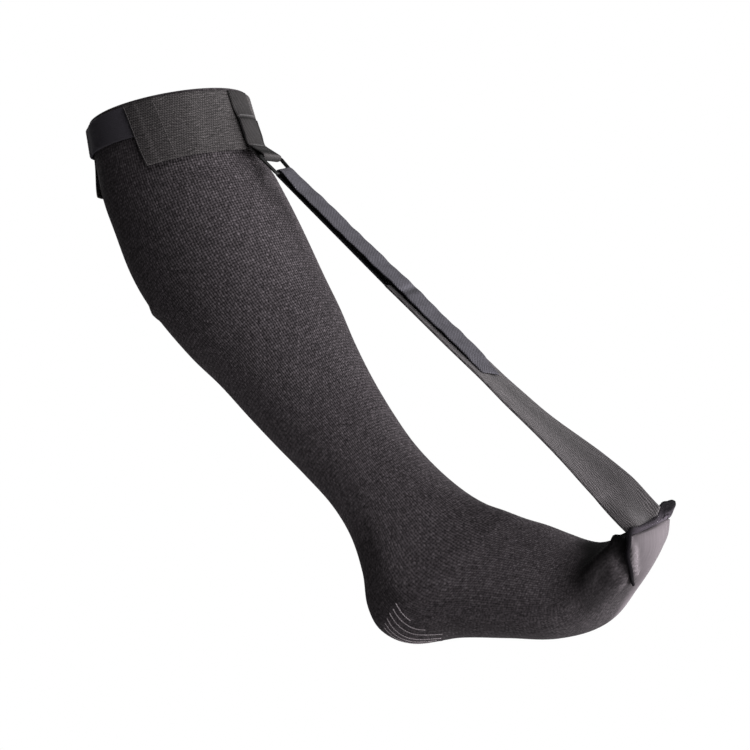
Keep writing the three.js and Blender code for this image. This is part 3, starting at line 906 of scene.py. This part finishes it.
# Painted shade on the elastic: darker towards the joint and over its foot, and on the low run a
# painted shade and a painted highlight beside its middle.
JOINT_DARK = 0.55
JOINT_SHADED = (180, 235)
FOOT_SHADE = ((14, 5, 0.1),)
LOW_RUN = (170, 130)
RUN_SHADES = ((5, 6, 0.3), (-12, 6, -0.2))


def on_run(distance, height):
    """Places on the strap's run: so far from the toe, and so high over the run."""
    distance, height = np.broadcast_arrays(np.asarray(distance, float), np.asarray(height, float))
    bow = BOW_HEIGHT * smoothstep(distance, 0, BOW_FULL) * smoothstep(distance, *BOW_FALL)
    return STRAP_FOOT + distance[..., None] * STRAP_ALONG + (height + bow)[..., None] * STRAP_UP


def strap(name, middle, normal, along, aside, outer_half, inner_half, material):
    """A strap about a grid of points, with its half thickness on either side, rounded at its border."""
    edge = np.minimum.reduce([aside - aside[:, :1], aside[:, -1:] - aside, along, along[-1] - along])
    full = rounding(edge, EDGE_ROUNDING)
    outer = middle + (full * outer_half)[..., None] * normal
    inner = middle - (full * inner_half)[..., None] * normal
    piece = cloth_shell(name, outer, inner, along, aside + ELASTIC_WIDTH, material)
    set_values(piece, "face", np.repeat((1.0, 0.0), aside.size))
    return piece


def turned_about(vector, axis, angles):
    """A vector turned about an axis that it is square to, by angles in radians."""
    side = np.cross(axis, vector)
    return np.cos(angles)[:, None] * vector + np.sin(angles)[:, None] * side


def strap_end_line(columns):
    """The line in the toe seam where the elastic is sewn in, with its far end in the ear."""
    lip = [on_seam(share, SEAM_UP, BINDING / 2) for share in SEWN_SHARES]
    places = [FOOT_NEAR, *lip, FOOT_FAR]
    return spline(np.array(places), np.linspace(0, len(places) - 1, columns))


def toe_strap():
    """Wide elastic from the toe seam to its joint with the hook strap."""
    columns = 78
    distance = np.linspace(0, JOINT_END, 205)
    roll = -sum(np.radians(turn) * smoothstep(distance, *reach) for turn, *reach in TWISTS)
    across = turned_about(ACROSS, STRAP_ALONG, roll)
    normal = turned_about(STRAP_UP, STRAP_ALONG, roll)
    half_width = blend(ELASTIC_WIDTH, JOINT_WIDTH, smoothstep(distance, TAPER_START, JOINT_END)) / 2
    aside = half_width[:, None] * np.linspace(-1, 1, columns)
    run = on_run(distance, 0)[:, None] + aside[..., None] * across[:, None]
    drawn = smoothstep(distance, FOOT_REACH, 0)[:, None, None]
    middle = run + drawn * (strap_end_line(columns) - run[0])
    ribs = STRAP_CORDS * np.cos(2 * np.pi * aside / ELASTIC_RIB)
    material = elastic_material(
        "strap_elastic_weave",
        level=0.055,
        tint=(1, 0.9, 0.95),
        rib=1.5,
        pick=1.45,
        rib_contrast=0.55,
        pick_contrast=0.35,
        streaks=0.5,
        grain=0.4,
        sway=3.0,
    )
    along = lengthwise(middle)
    outer, inner = ELASTIC / 2 + ribs, ELASTIC / 2
    piece = strap("toe_strap_elastic", middle, normal[:, None], along, aside, outer, inner, material)
    reach = distance[:, None]
    # Painted shade towards the joint and over the foot, and painted shade and highlight across the low run.
    shaded = JOINT_DARK * smoothstep(reach, *JOINT_SHADED) + humps(reach, FOOT_SHADE)
    shaded = shaded + smoothstep(reach, *LOW_RUN) * humps(aside, RUN_SHADES)
    set_values(piece, "painted_shading", np.stack([shaded, shaded]))
    return piece


def flat_path(path, half_width, columns, crown=0.0):
    """Points, outer directions and widths of a strap along a path in the sagittal plane."""
    normal = unit(np.cross(np.gradient(path, axis=0), ACROSS))
    aside = np.asarray(half_width)[:, None] * np.linspace(-1, 1, columns)
    sunk = -np.broadcast_to(crown, len(path))[:, None] * aside ** 2
    middle = path[:, None] + aside[..., None] * ACROSS + sunk[..., None] * normal[:, None]
    along = np.broadcast_to(distances(path)[:, None], aside.shape)
    return middle, normal[:, None], along, aside


BAR_LIFT = 1.5
BAR_SLANT = 0.22
BAR_PINCH = 0.2
BAR_REACH = 25  # distance before the bar over which the strap takes up its slant


def bar_slant(aside):
    """How far the ring's lower bar lies nearer to its upper bar, more so towards its far end."""
    return BAR_LIFT + BAR_SLANT * aside


def bar_pinch(aside):
    """How far the far half of the ring's lower bar and of the strap on it is drawn in."""
    return BAR_PINCH * np.maximum(aside, 0)


# The hook strap's upper layer: the distances between which its hooks thin out, and its rise off the
# elastic at some distances, with a hump over the joint.
HOOKS_END = (JOINT_END + 8, JOINT_END + 44)
UPPER_STOPS = (TAIL_END, JOINT_START - 16, JOINT_START - 1, *HOOKS_END)
UPPER_RISES = np.array((0, 0, 0.6, 0.7, 0.9))
JOINT_HUMP = ((JOINT_END + 2, 6, 0.5),)
# Its waves, each a height, the distance of one radian and a shift: a broad one, and short ones that
# start past the end of the tail.
BROAD_WAVES = ((0.15, 7, 0),)
SHORT_WAVES = ((0.14, 2.1, 0), (0.12, 3.3, 1))
WAVES_START = (TAIL_END, TAIL_END + 12)
ROUTE_STEP = 1.5
TAIL_CORNER = 2.5
TAIL_TILT = 1.5  # how far the near edge of the strap's upper layer hangs lower
# The end of the tail is pressed down, cut aslant and drawn in on its far side.
TAIL_LENGTH = 28
TAIL_PRESS = 1.4
TAIL_CUT = 1.5
TAIL_SKEW = 0.2
TAIL_PINCH = 0.5
# A kink in the upper layer over the joint catches the light, with a shadow before it.
KINK = 234
KINK_SLANT = 0.2
KINK_SHADES = ((-5, 2.5, 0.6), (0, 2, -0.9))


def waves(distance, shapes):
    """The sum of some waves along a strap."""
    return sum(height * np.sin(distance / length + shift) for height, length, shift in shapes)


def hook_strap_route():
    """Distances and heights of the hook strap: under the elastic, round the ring, and back on top."""
    under = -ELASTIC / 2 - GAP - WEBBING / 2
    on_elastic = ELASTIC / 2 + GAP + HOOK_PILE + WEBBING / 2
    bend = RING_WIRE / 2 + GAP + WEBBING / 2
    lower = np.arange(JOINT_START, STRAP_RUN - 1, ROUTE_STEP)
    lower_height = np.interp(lower, (JOINT_START, JOINT_END, STRAP_RUN), (under, under, RING_RISE - bend))
    angle = np.linspace(-np.pi / 2, np.pi / 2, 17)
    upper = np.arange(STRAP_RUN - ROUTE_STEP, TAIL_END, -ROUTE_STEP)
    rises = (*(on_elastic + UPPER_RISES), RING_RISE + bend)
    upper_height = np.interp(upper, (*UPPER_STOPS, STRAP_RUN), rises)
    upper_height += humps(upper, JOINT_HUMP) + waves(upper, BROAD_WAVES)
    upper_height += waves(upper, SHORT_WAVES) * smoothstep(upper, *WAVES_START)
    distance = np.concatenate([lower, STRAP_RUN + np.cos(angle) * bend, upper])
    height = np.concatenate([lower_height, RING_RISE + np.sin(angle) * bend, upper_height])
    returning = np.arange(len(distance)) >= len(lower) + len(angle)
    return distance, height, returning


def hook_strap():
    """Narrow strap from the joint round the ring's lower bar and back, with hooks under its tail."""
    distance, height, returning = hook_strap_route()
    path = on_run(distance, height)
    reach = distances(path)
    corner = np.clip(TAIL_CORNER - (reach[-1] - reach), 0, TAIL_CORNER - 0.2)
    half_width = WEBBING_WIDTH / 2 - TAIL_CORNER + np.sqrt(TAIL_CORNER ** 2 - corner ** 2)
    middle, normal, along, aside = flat_path(path, half_width, 30)
    tail = (returning * smoothstep(distance, TAIL_END + TAIL_LENGTH, TAIL_END))[:, None]
    at_ring = smoothstep(distance, STRAP_RUN - BAR_REACH, STRAP_RUN)[:, None]
    tilt = TAIL_TILT * returning[:, None] * (1 - at_ring)
    drop = tilt * (WEBBING_WIDTH / 2 - aside) / WEBBING_WIDTH + TAIL_PRESS * tail
    forward = at_ring * bar_slant(aside) + tail * (TAIL_CUT - TAIL_SKEW * aside)
    inward = at_ring * bar_pinch(aside) + tail * TAIL_PINCH * np.maximum(aside, 0)
    for move, direction in ((-drop, normal), (forward, STRAP_ALONG), (-inward, ACROSS)):
        middle = middle + move[..., None] * direction
    pile = HOOK_PILE * returning * (1 - smoothstep(distance, *HOOKS_END))
    under = WEBBING / 2 + np.clip(pile[:, None] - drop, 0, None)
    material = twill_material(
        "hook_strap_twill", level=0.052, tint=(1, 0.95, 1.12), pitch=2.0, back=0.008, contrast=0.9
    )
    piece = strap("hook_strap_tape", middle, normal, along, aside, WEBBING / 2, under, material)
    # Painted highlight on the kink and painted shadow before it.
    from_kink = distance[:, None] - KINK - KINK_SLANT * aside
    kink_painted_shading = humps(from_kink, KINK_SHADES) * returning[:, None]
    set_values(piece, "painted_shading", np.stack([kink_painted_shading, 0 * kink_painted_shading]))
    return piece


def on_cuff_front(section, extra=0.0):
    """A place on the middle line of the tab's lower layer, down the front of the cuff."""
    share = (section - CUFF_TOP) / (ELASTIC_BOTTOM - CUFF_TOP)
    return knit_point(section, 0.0, GAP + share * SHIN_PULL + ELASTIC + GAP + WEBBING / 2 + extra)


TAB_DOUBLED = WEBBING + GAP
TAB_TOP = (0.1, 0.25, 0.4)
TAB_UNDER = (0.95, 0.75, 0.55)
TAB_FLATTENS = (6, 22)  # distances from the ring over which the tab takes up the cuff's curve
CUFF_RADIUS = 57
TAB_TACKS = (0.5, 0.97)
# Painted shade and painted highlights across the tab: beside a row of tacks, and before its fold.
TACK_SHADES = ((1.6, 0.9, 1.0), (-0.3, 0.9, -1.5))
FOLD_SHADES = ((-2.2, 1.1, -1.5), (-7, 2.5, 0.8))


def ring_tab():
    """Webbing down the front of the cuff, folded round the ring's upper bar and back under itself."""
    bend = RING_WIRE / 2 + GAP + WEBBING / 2
    leaves = on_cuff_front(TAB_UNDER[0], TAB_DOUBLED / 2)
    pull = unit(RING_HIGH - leaves)
    away = np.cross(pull, ACROSS)
    turn = np.pi * (0.5 - np.linspace(0, 1, 9))
    route = [on_cuff_front(section) for section in TAB_TOP]
    route += [on_cuff_front(section, TAB_DOUBLED) for section in reversed(TAB_UNDER)]
    route += [RING_HIGH + bend * (np.cos(angle) * pull + np.sin(angle) * away) for angle in turn]
    route += [on_cuff_front(section) for section in TAB_UNDER]
    path = even_path(np.array(route), 0.8)
    to_ring = np.linalg.norm(path - RING_HIGH, axis=-1)
    crown = smoothstep(to_ring, *TAB_FLATTENS) / (2 * CUFF_RADIUS)
    middle, normal, along, aside = flat_path(path, np.full(len(path), WEBBING_WIDTH / 2), 24, crown)
    material = twill_material(
        "tab_webbing", level=0.024, tint=(1, 0.92, 0.94), pitch=1.8, back=0.015, contrast=0.9
    )
    piece = strap("ring_tab_webbing", middle, normal, along, aside, WEBBING / 2, WEBBING / 2, material)
    lowest = ((path - RING_HIGH) @ pull).argmax()
    # Painted shade and highlights beside the tacks and before the fold.
    painted_tab_shading = humps(along - along[lowest], FOLD_SHADES)
    for section in TAB_TACKS:
        tack = np.linalg.norm(path - on_cuff_front(section, TAB_DOUBLED), axis=-1).argmin()
        painted_tab_shading = painted_tab_shading + humps(along - along[tack], TACK_SHADES)
    set_values(piece, "painted_shading", np.stack([painted_tab_shading, 0 * painted_tab_shading]))
    return piece


# Repeats and wires, by geometry nodes.

def node_group(name, *sizes):
    """An empty tree of geometry nodes with named sizes and a material as inputs, and its two ends."""
    tree = bpy.data.node_groups.new(name, "GeometryNodeTree")
    tree.interface.new_socket("Geometry", in_out="INPUT", socket_type="NodeSocketGeometry")
    for size in sizes:
        tree.interface.new_socket(size, in_out="INPUT", socket_type="NodeSocketFloat")
    tree.interface.new_socket("Material", in_out="INPUT", socket_type="NodeSocketMaterial")
    tree.interface.new_socket("Geometry", in_out="OUTPUT", socket_type="NodeSocketGeometry")
    return tree, tree.nodes.new("NodeGroupInput"), tree.nodes.new("NodeGroupOutput")


def along_path(tree, start):
    """Evenly spaced points on the paths, and the turn that lays a shape's Z along them."""
    curve = put(tree, "GeometryNodeMeshToCurve", start.outputs["Geometry"]).outputs[0]
    pitch = {"Length": start.outputs["Pitch"]}
    spaced = put(tree, "GeometryNodeResampleCurve", curve, named=pitch, mode="LENGTH")
    tangent = {"Vector": put(tree, "GeometryNodeInputTangent").outputs[0]}
    turn = put(tree, "FunctionNodeAlignRotationToVector", named=tangent, axis="Z")
    return spaced.outputs[0], turn.outputs[0]


def finish_tree(tree, start, end, points, **placing):
    """Ends a tree: shapes set on points, made real, shaded smooth and given the thread."""
    placed = put(tree, "GeometryNodeInstanceOnPoints", points, named=placing).outputs[0]
    real = put(tree, "GeometryNodeRealizeInstances", placed).outputs[0]
    smooth = put(tree, "GeometryNodeSetShadeSmooth", real).outputs[0]
    thread = {"Material": start.outputs["Material"]}
    painted = put(tree, "GeometryNodeSetMaterial", smooth, named=thread)
    tree.links.new(painted.outputs[0], end.inputs[0])
    return tree


def stitch_tree():
    """Stitches laid end to end along paths."""
    tree, start, end = node_group("stitch_rows", "Pitch", "Thread", "Stitch")
    points, turn = along_path(tree, start)
    bead = put(tree, "GeometryNodeMeshUVSphere", 6, 4, 0.5).outputs[0]
    size = joined(*[start.outputs[name] for name in ("Thread", "Thread", "Stitch")])
    sized = put(tree, "GeometryNodeTransform", bead, named={"Scale": size}).outputs[0]
    return finish_tree(tree, start, end, points, Instance=sized, Rotation=turn)


def overlock_tree():
    """Thread wrapped round a path at a slant, as wide and tall as the path's points say."""
    tree, start, end = node_group("overlock_wraps", "Pitch", "Loop", "Thread", "Slant")
    points, turn = along_path(tree, start)
    up, girth = (
        put(tree, "GeometryNodeInputNamedAttribute", name, data_type="FLOAT_VECTOR").outputs[0]
        for name in ("up", "girth")
    )
    upright = put(
        tree, "FunctionNodeAlignRotationToVector", turn, named={"Vector": up}, axis="Y", pivot_axis="Z"
    )
    rounds = []
    for name, sides in (("Loop", 10), ("Thread", 4)):
        radius = {"Radius": start.outputs[name]}
        rounds.append(put(tree, "GeometryNodeCurvePrimitiveCircle", sides, named=radius).outputs[0])
    wrap = put(tree, "GeometryNodeCurveToMesh", *rounds).outputs[0]
    slant = {"Rotation": joined(start.outputs["Slant"])}
    turned = put(tree, "GeometryNodeTransform", wrap, named=slant).outputs[0]
    return finish_tree(tree, start, end, points, Instance=turned, Rotation=upright.outputs[0], Scale=girth)


def made_by_nodes(name, tree, paths, settings, carried=None):
    """A plain mesh made by a tree from open paths, whose points may carry values."""
    points = np.concatenate(paths) * MM
    edges, first = [], 0
    for path in paths:
        edges += [(first + i, first + i + 1) for i in range(len(path) - 1)]
        first += len(path)
    mesh = bpy.data.meshes.new(name + "_paths")
    mesh.from_pydata(points.tolist(), edges, [])
    for label, values in (carried or {}).items():
        vector = values.ndim > 1
        attribute = mesh.attributes.new(label, "FLOAT_VECTOR" if vector else "FLOAT", "POINT")
        attribute.data.foreach_set("vector" if vector else "value", values.ravel().astype(np.float32))
    piece = new_object(name, mesh)
    modifier = piece.modifiers.new("rows", "NODES")
    modifier.node_group = tree
    for item in tree.interface.items_tree:
        if item.in_out == "INPUT" and item.name in settings:
            modifier[item.identifier] = settings[item.name]
    graph = bpy.context.evaluated_depsgraph_get()
    plain = bpy.data.meshes.new_from_object(piece.evaluated_get(graph))
    piece.modifiers.clear()
    piece.data = plain
    plain.name = name
    return piece


def sewn(name, paths, thread, pitch, stitch, material):
    """Rows of stitches along paths."""
    settings = {"Pitch": pitch * MM, "Thread": thread * MM, "Stitch": stitch * MM, "Material": material}
    return made_by_nodes(name, STITCHES, paths, settings)


# Pale courses that show on each side of the heel pocket, as a first and a last place.
HEEL_COURSES = [
    {"start": (14.08, 106), "end": (14.80, 113)},
    {"start": (14.13, 112), "end": (15.36, 126)},
    {"start": (14.12, 118), "end": (15.78, 142)},
    {"start": (14.14, 125.5), "end": (15.72, 155)},
    {"start": (14.16, 133), "end": (15.58, 163)},
    {"start": (14.20, 141), "end": (15.40, 170)},
]
THREAD_LIFT = 0.15  # from the cloth to the middle of a thread on it


def heel_courses():
    """Thin pale threads that follow the curve of the heel, on both of its sides."""
    paths = []
    for course in HEEL_COURSES:
        section, degrees = places_between(course, 24)
        paths += [knit_point(section, side * degrees, THREAD_LIFT) for side in (1, -1)]
    material = thread_material("heel_thread", dark=0.2, light=0.36, tint=(1, 0.88, 0.94))
    return sewn("heel_courses", paths, thread=0.85, pitch=1.5, stitch=1.9, material=material)


def cuff_stitches():
    """Rows of stitches on the cuff: beside the elastic's free end, and down the band before it."""
    share = np.linspace(0.06, 0.94, 40)
    section = blend(CUFF_TOP, ELASTIC_BOTTOM, share)
    end = blend(*ELASTIC_END, share)
    on_top = GAP + TAPE + GAP + ELASTIC
    paths = [knit_point(section, end - before, on_top + height) for before, height in CUFF_ROWS]
    material = thread_material("cuff_thread", dark=0.07, light=0.13, tint=(1, 0.9, 0.93))
    return sewn("cuff_stitches", paths, thread=0.45, pitch=1.7, stitch=1.9, material=material)


TACK_ROW = np.linspace(-0.42, 0.42, 16) * WEBBING_WIDTH
JOINT_LIFT = 0.1
JOINT_ROWS = (JOINT_START + 3, JOINT_END - 3)


def tab_tacks():
    """Rows of stitches across the tab, where its doubled end starts and over the band's lower edge."""
    sunk = -TACK_ROW ** 2 / (2 * CUFF_RADIUS)
    paths = []
    for section in TAB_TACKS:
        top = on_cuff_front(section, TAB_DOUBLED + WEBBING / 2 + THREAD_LIFT)
        paths.append(top + TACK_ROW[:, None] * ACROSS + sunk[:, None] * knit_normal(section, 0.0))
    material = thread_material("tab_thread", dark=0.05, light=0.11, tint=(1, 0.95, 0.97))
    return sewn("tab_tacks", paths, thread=1.0, pitch=1.5, stitch=1.8, material=material)


def joint_stitches():
    """Rows of stitches where the hook strap is sewn under the elastic."""
    below = -ELASTIC / 2 - GAP - WEBBING - JOINT_LIFT
    paths = [on_run(distance, below) + TACK_ROW[:, None] * ACROSS for distance in JOINT_ROWS]
    material = thread_material("joint_thread", dark=0.03, light=0.06, tint=(1, 0.95, 1.0))
    return sewn("joint_stitches", paths, thread=0.5, pitch=1.7, stitch=1.9, material=material)


RING_CORNER = 2.4
RING_FAR_SIDE = 0.8  # how much wider the far side bar is


def strap_ring():
    """Wire bent to a rectangle with rounded corners, with flatter side bars."""
    bend, sides = 13, 20
    half_across = (RING_INSIDE + RING_SIDE) / 2 - RING_CORNER
    half_pull = RING_PITCH / 2 - RING_CORNER
    corners = [np.linspace(start, start + 90, bend) for start in (0, 90, 180, 270)]
    angle = np.radians(np.concatenate(corners))
    out = np.cos(angle)[:, None] * ACROSS + np.sin(angle)[:, None] * PULL
    side_across = np.repeat((1, -1, -1, 1), bend) * half_across
    side_pull = np.repeat((1, 1, -1, -1), bend) * half_pull
    centre = RING_LOW - RING_PITCH / 2 * PULL
    wire = centre + side_across[:, None] * ACROSS + side_pull[:, None] * PULL + RING_CORNER * out
    lower_share = (wire - RING_HIGH) @ PULL / RING_PITCH
    wire = wire - (lower_share * bar_slant(wire[:, 1]))[:, None] * PULL
    wire = wire - (lower_share * bar_pinch(wire[:, 1]))[:, None] * ACROSS
    width = blend(RING_WIRE, RING_SIDE, np.abs(np.cos(angle)))
    width = width + RING_FAR_SIDE * np.maximum(np.cos(angle), 0)
    turn = np.linspace(0, 2 * np.pi, sides, endpoint=False)
    across = (width[:, None] / 2 * np.cos(turn))[..., None] * out[:, None]
    points = wire[:, None] + across + (RING_WIRE / 2 * np.sin(turn))[:, None] * RING_FACE
    quads = grid_quads(len(angle) + 1, sides, wrap=True) % (len(angle) * sides)
    return mesh_piece("strap_ring_wire", points, [quads], [np.zeros(quads.shape + (2,))], enamel_material())


SEAM_UP = unit(sagittal(0.46, 0.89))
UPRIGHT = sagittal(0, 1)
BINDING_CLEAR = 0.8
CREASE_CLEAR = 1.28
SEAM_BITE = 0.5  # how deep the binding is sewn into the knit
# Along the crease: section, angle and half thickness. Along the seam: share of its length from the
# near side, upright or not, half thickness, half height and rise.
CREASE_STOPS = ((20.76, 173, 0.9), (21.05, 155, 1.2), (21.4, 131, 1.4), (21.8, 111, 1.5), (22.4, 97, 1.6))
SEAM_STOPS = (
    (0.0, SEAM_UP, 1.8, 1.8, 1.7),
    (0.2, SEAM_UP, 2.0, 2.0, 0.0),
    (0.42, SEAM_UP, 2.0, 2.0, 0.0),
    (0.6, SEAM_UP, 2.0, 2.4, 0.0),
    (0.78, UPRIGHT, 1.7, 3.6, 0.0),
    (0.86, UPRIGHT, 1.5, 6.0, 0.0),
    (0.95, UPRIGHT, 1.4, 6.0, 0.0),
    (1.03, UPRIGHT, 1.3, 6.2, -0.9),
    (1.11, UPRIGHT, 1.1, 4.6, 1.9),
    (1.18, UPRIGHT, 0.9, 2.2, 5.0),
)
STOP_STEPS = 12
# How pale the binding is at each of these stops, and how much more so on its lower side, partly the pale
# thread and partly painted light under the ear.
LIP_SHADES = (0, 0, 0, 0, 0, 0.2, 1, 1, 1, 0.5, 0, 0, 0, 0, 0)
LOWER_PALE_AND_PAINTED_LIGHT = (0, 0, 0, 0, 0, 0, 0.4, 0.5, 0.8, 2.0, 3.4, 3.4, 3.2, 2.6, 1.3)
# The roll's share of the binding's half sizes, and the overlock's wraps on it.
ROLL_SHARE = 0.9
WRAP_PITCH = 1.2
WRAP_THREAD = 0.17
WRAP_SLANT = 0.4
WRAP_PALE = 0.6


def on_seam(share, up, height):
    """A place so high over the toe seam."""
    return blend(smooth_knit(LAST, 90.0), smooth_knit(LAST, -90.0), share) + up * (BINDING_CLEAR + height)


def binding_course():
    """Finely spaced places on the toe binding, with its directions, half sizes and paleness.

    foot is the place on the knit below, and sewn is 1 where the binding is sewn to it and 0 on the
    free ear.
    """
    rows = []
    for section, degrees, thick in CREASE_STOPS:
        place = knit_point(section, degrees, thick + CREASE_CLEAR)
        normal = knit_normal(np.float64(section), np.float64(degrees))
        rows.append([*place, *normal, thick, thick, *knit_point(section, degrees, -SEAM_BITE), 1])
    for share, up, thick, tall, rise in SEAM_STOPS:
        foot = on_seam(min(share, 1), SEAM_UP, -SEAM_BITE - BINDING_CLEAR)
        rows.append([*on_seam(share, up, tall + rise), *up, thick, tall, *foot, share < 1])
    table = np.concatenate([np.array(rows), np.array([LIP_SHADES, LOWER_PALE_AND_PAINTED_LIGHT]).T], 1)
    fine = spline(table, np.linspace(0, len(table) - 1, STOP_STEPS * (len(table) - 1) + 1))
    place = fine[:, :3]
    tangent = unit(np.gradient(place, axis=0))
    side = unit(np.cross(fine[:, 3:6], tangent))
    return {
        "place": place,
        "side": side,
        "up": np.cross(tangent, side),
        "thick": fine[:, 6],
        "tall": fine[:, 7],
        "foot": fine[:, 8:11],
        "sewn": np.clip(fine[:, 11], 0, 1),
        "pale": np.clip(fine[:, 12], 0, None),
        "lower": np.clip(fine[:, 13], 0, None),
    }


def toe_binding(material):
    """The rolled edge of the toe seam: up the near crease, along the seam, and into an ear."""
    course = binding_course()
    place, pale, lower = course["place"], course["pale"][:, None], course["lower"][:, None]
    turn = np.linspace(0, 2 * np.pi, 14, endpoint=False)
    across = ROLL_SHARE * course["thick"][:, None] * course["side"]
    upright = ROLL_SHARE * course["tall"][:, None] * course["up"]
    rings = place[:, None] + np.cos(turn)[:, None] * across[:, None]
    rings = rings + np.sin(turn)[:, None] * upright[:, None]
    below = np.clip(-np.sin(turn), 0, 1)
    allowance = np.minimum(1.1 * below ** 4, 1)
    to_knit = course["sewn"][:, None] * (course["foot"] - place + upright)
    rings = rings + allowance[:, None] * to_knit[:, None]
    piece = closed_tube("toe_binding_roll", rings, place[[0, -1]], material)
    # Paleness fades to painted shade at the top and bottom of the roll, and its lower side carries added
    # paleness that is partly painted light.
    set_tube_values(piece, "pale", pale * np.abs(np.cos(turn)) ** 4 + lower * below ** 1.5)
    return piece


def toe_overlock(material):
    """Overlock thread wrapped round the rolled edge."""
    course = binding_course()
    thick, tall = course["thick"], course["tall"]
    settings = {
        "Pitch": WRAP_PITCH * MM,
        "Loop": ROLL_SHARE * MM,
        "Thread": WRAP_THREAD * MM,
        "Slant": WRAP_SLANT,
        "Material": material,
    }
    carried = {
        "up": course["up"],
        "girth": np.stack([thick, tall, np.sqrt(thick * tall)], -1),
        "pale": WRAP_PALE * course["pale"],
    }
    return made_by_nodes("toe_binding_overlock", overlock_tree(), [course["place"]], settings, carried)


# The stage: camera, light and floor.

def looking(obj, place, target):
    """Puts a camera or a light at a place, turned to a target."""
    obj.location = Vector(place)
    obj.rotation_euler = Vector(np.subtract(target, place)).to_track_quat("-Z", "Y").to_euler()


VIEW_AZIMUTH = np.radians(30)
VIEW_BACK = np.array((np.sin(VIEW_AZIMUTH), -np.cos(VIEW_AZIMUTH), 0))
VIEW_RIGHT = np.array((np.cos(VIEW_AZIMUTH), np.sin(VIEW_AZIMUTH), 0))
VIEW_TARGET = np.array((172, 0, -190)) * MM
VIEW_DISTANCE = 2.0
VIEW_LENS = 139.2
VIEW_SENSOR = 36


def camera():
    """The camera, level with the middle of the sock."""
    data = bpy.data.cameras.new("camera")
    data.lens = VIEW_LENS
    data.sensor_width = VIEW_SENSOR
    seen = new_object("camera", data)
    looking(seen, VIEW_TARGET + VIEW_DISTANCE * VIEW_BACK, VIEW_TARGET)
    bpy.context.scene.camera = seen


# Lamps as seen from the camera: metres to the right, towards it and up, and watts.
LAMP_SIDE = 0.9
LAMPS = {
    "key_lamp": {"right": 1.5, "near": 0.8, "up": -0.3, "watts": 48},
    "upper_lamp": {"right": 0.2, "near": 1.0, "up": 1.5, "watts": 16},
    "rim_lamp": {"right": 1.5, "near": -0.7, "up": 0.3, "watts": 46},
    "front_lamp": {"right": 0.8, "near": 1.5, "up": -0.3, "watts": 8},
    "back_lamp": {"right": -0.65, "near": -1.45, "up": 0.6, "watts": 12},
}


def lamps():
    """Soft studio lamps."""
    for name, lamp in LAMPS.items():
        data = bpy.data.lights.new(name, "AREA")
        data.size = LAMP_SIDE
        data.energy = lamp["watts"]
        place = VIEW_TARGET + lamp["right"] * VIEW_RIGHT + lamp["near"] * VIEW_BACK
        looking(new_object(name, data), place + np.array((0, 0, lamp["up"])), VIEW_TARGET)


AMBIENT = 0.02


def surroundings():
    """A white studio: plain white behind, and an even soft light from all round."""
    world = bpy.data.worlds.new("studio")
    bpy.context.scene.world = world
    world.use_nodes = True
    tree = world.node_tree
    seen = put(tree, "ShaderNodeLightPath").outputs["Is Camera Ray"]
    strength = maths("MULTIPLY_ADD", seen, 1.0 - AMBIENT, AMBIENT)
    background = tree.nodes["Background"]
    background.inputs["Color"].default_value = shade(1.0)
    tree.links.new(strength, background.inputs["Strength"])
    bpy.context.scene.view_settings.view_transform = "Standard"


FLOOR_LEVEL = -0.56
FLOOR_RADIUS = 0.8
FLOOR_SHADES = (0.86, 0.9)


def floor():
    """A pale round floor under the sock."""
    angle = np.linspace(0, 2 * np.pi, 96, endpoint=False)
    rim = np.stack([np.cos(angle), np.sin(angle), np.zeros_like(angle)], -1) * FLOOR_RADIUS
    mesh = bpy.data.meshes.new("floor")
    centre = np.array((VIEW_TARGET[0], 0, FLOOR_LEVEL))
    mesh.from_pydata((rim + centre).tolist(), [], [list(range(len(angle)))])
    material, tree, shader = new_material("pale_floor", roughness=0.9)
    drift = noise(object_place(tree), scale=3.0)
    paint(shader, mixed(drift, *[shade(level) for level in FLOOR_SHADES]))
    mesh.materials.append(material)
    stage = new_object("floor", mesh)


def dress(piece, node=None):
    """Rides a piece on the sock, with its finish, in place of the plain solid."""
    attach(piece, "root")
    if node:
        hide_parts(node)
    return piece


camera()
lamps()
surroundings()
floor()
STITCHES = stitch_tree()
knit = dress(sock(), "sock_body")
band = dress(cuff_elastic(), "cuff_elastic")
tape = dress(cuff_loop_tape(), "cuff_loop_tape")
tab = dress(ring_tab(), "ring_tab")
dress(strap_ring(), "strap_ring")
hooks = dress(hook_strap(), "hook_strap")
webbing = dress(toe_strap(), "toe_strap")
overlock = overlock_material()
dress(toe_binding(overlock), "toe_binding")
dress(toe_overlock(overlock))
dress(heel_courses())
dress(cuff_stitches())
dress(tab_tacks())
dress(joint_stitches())
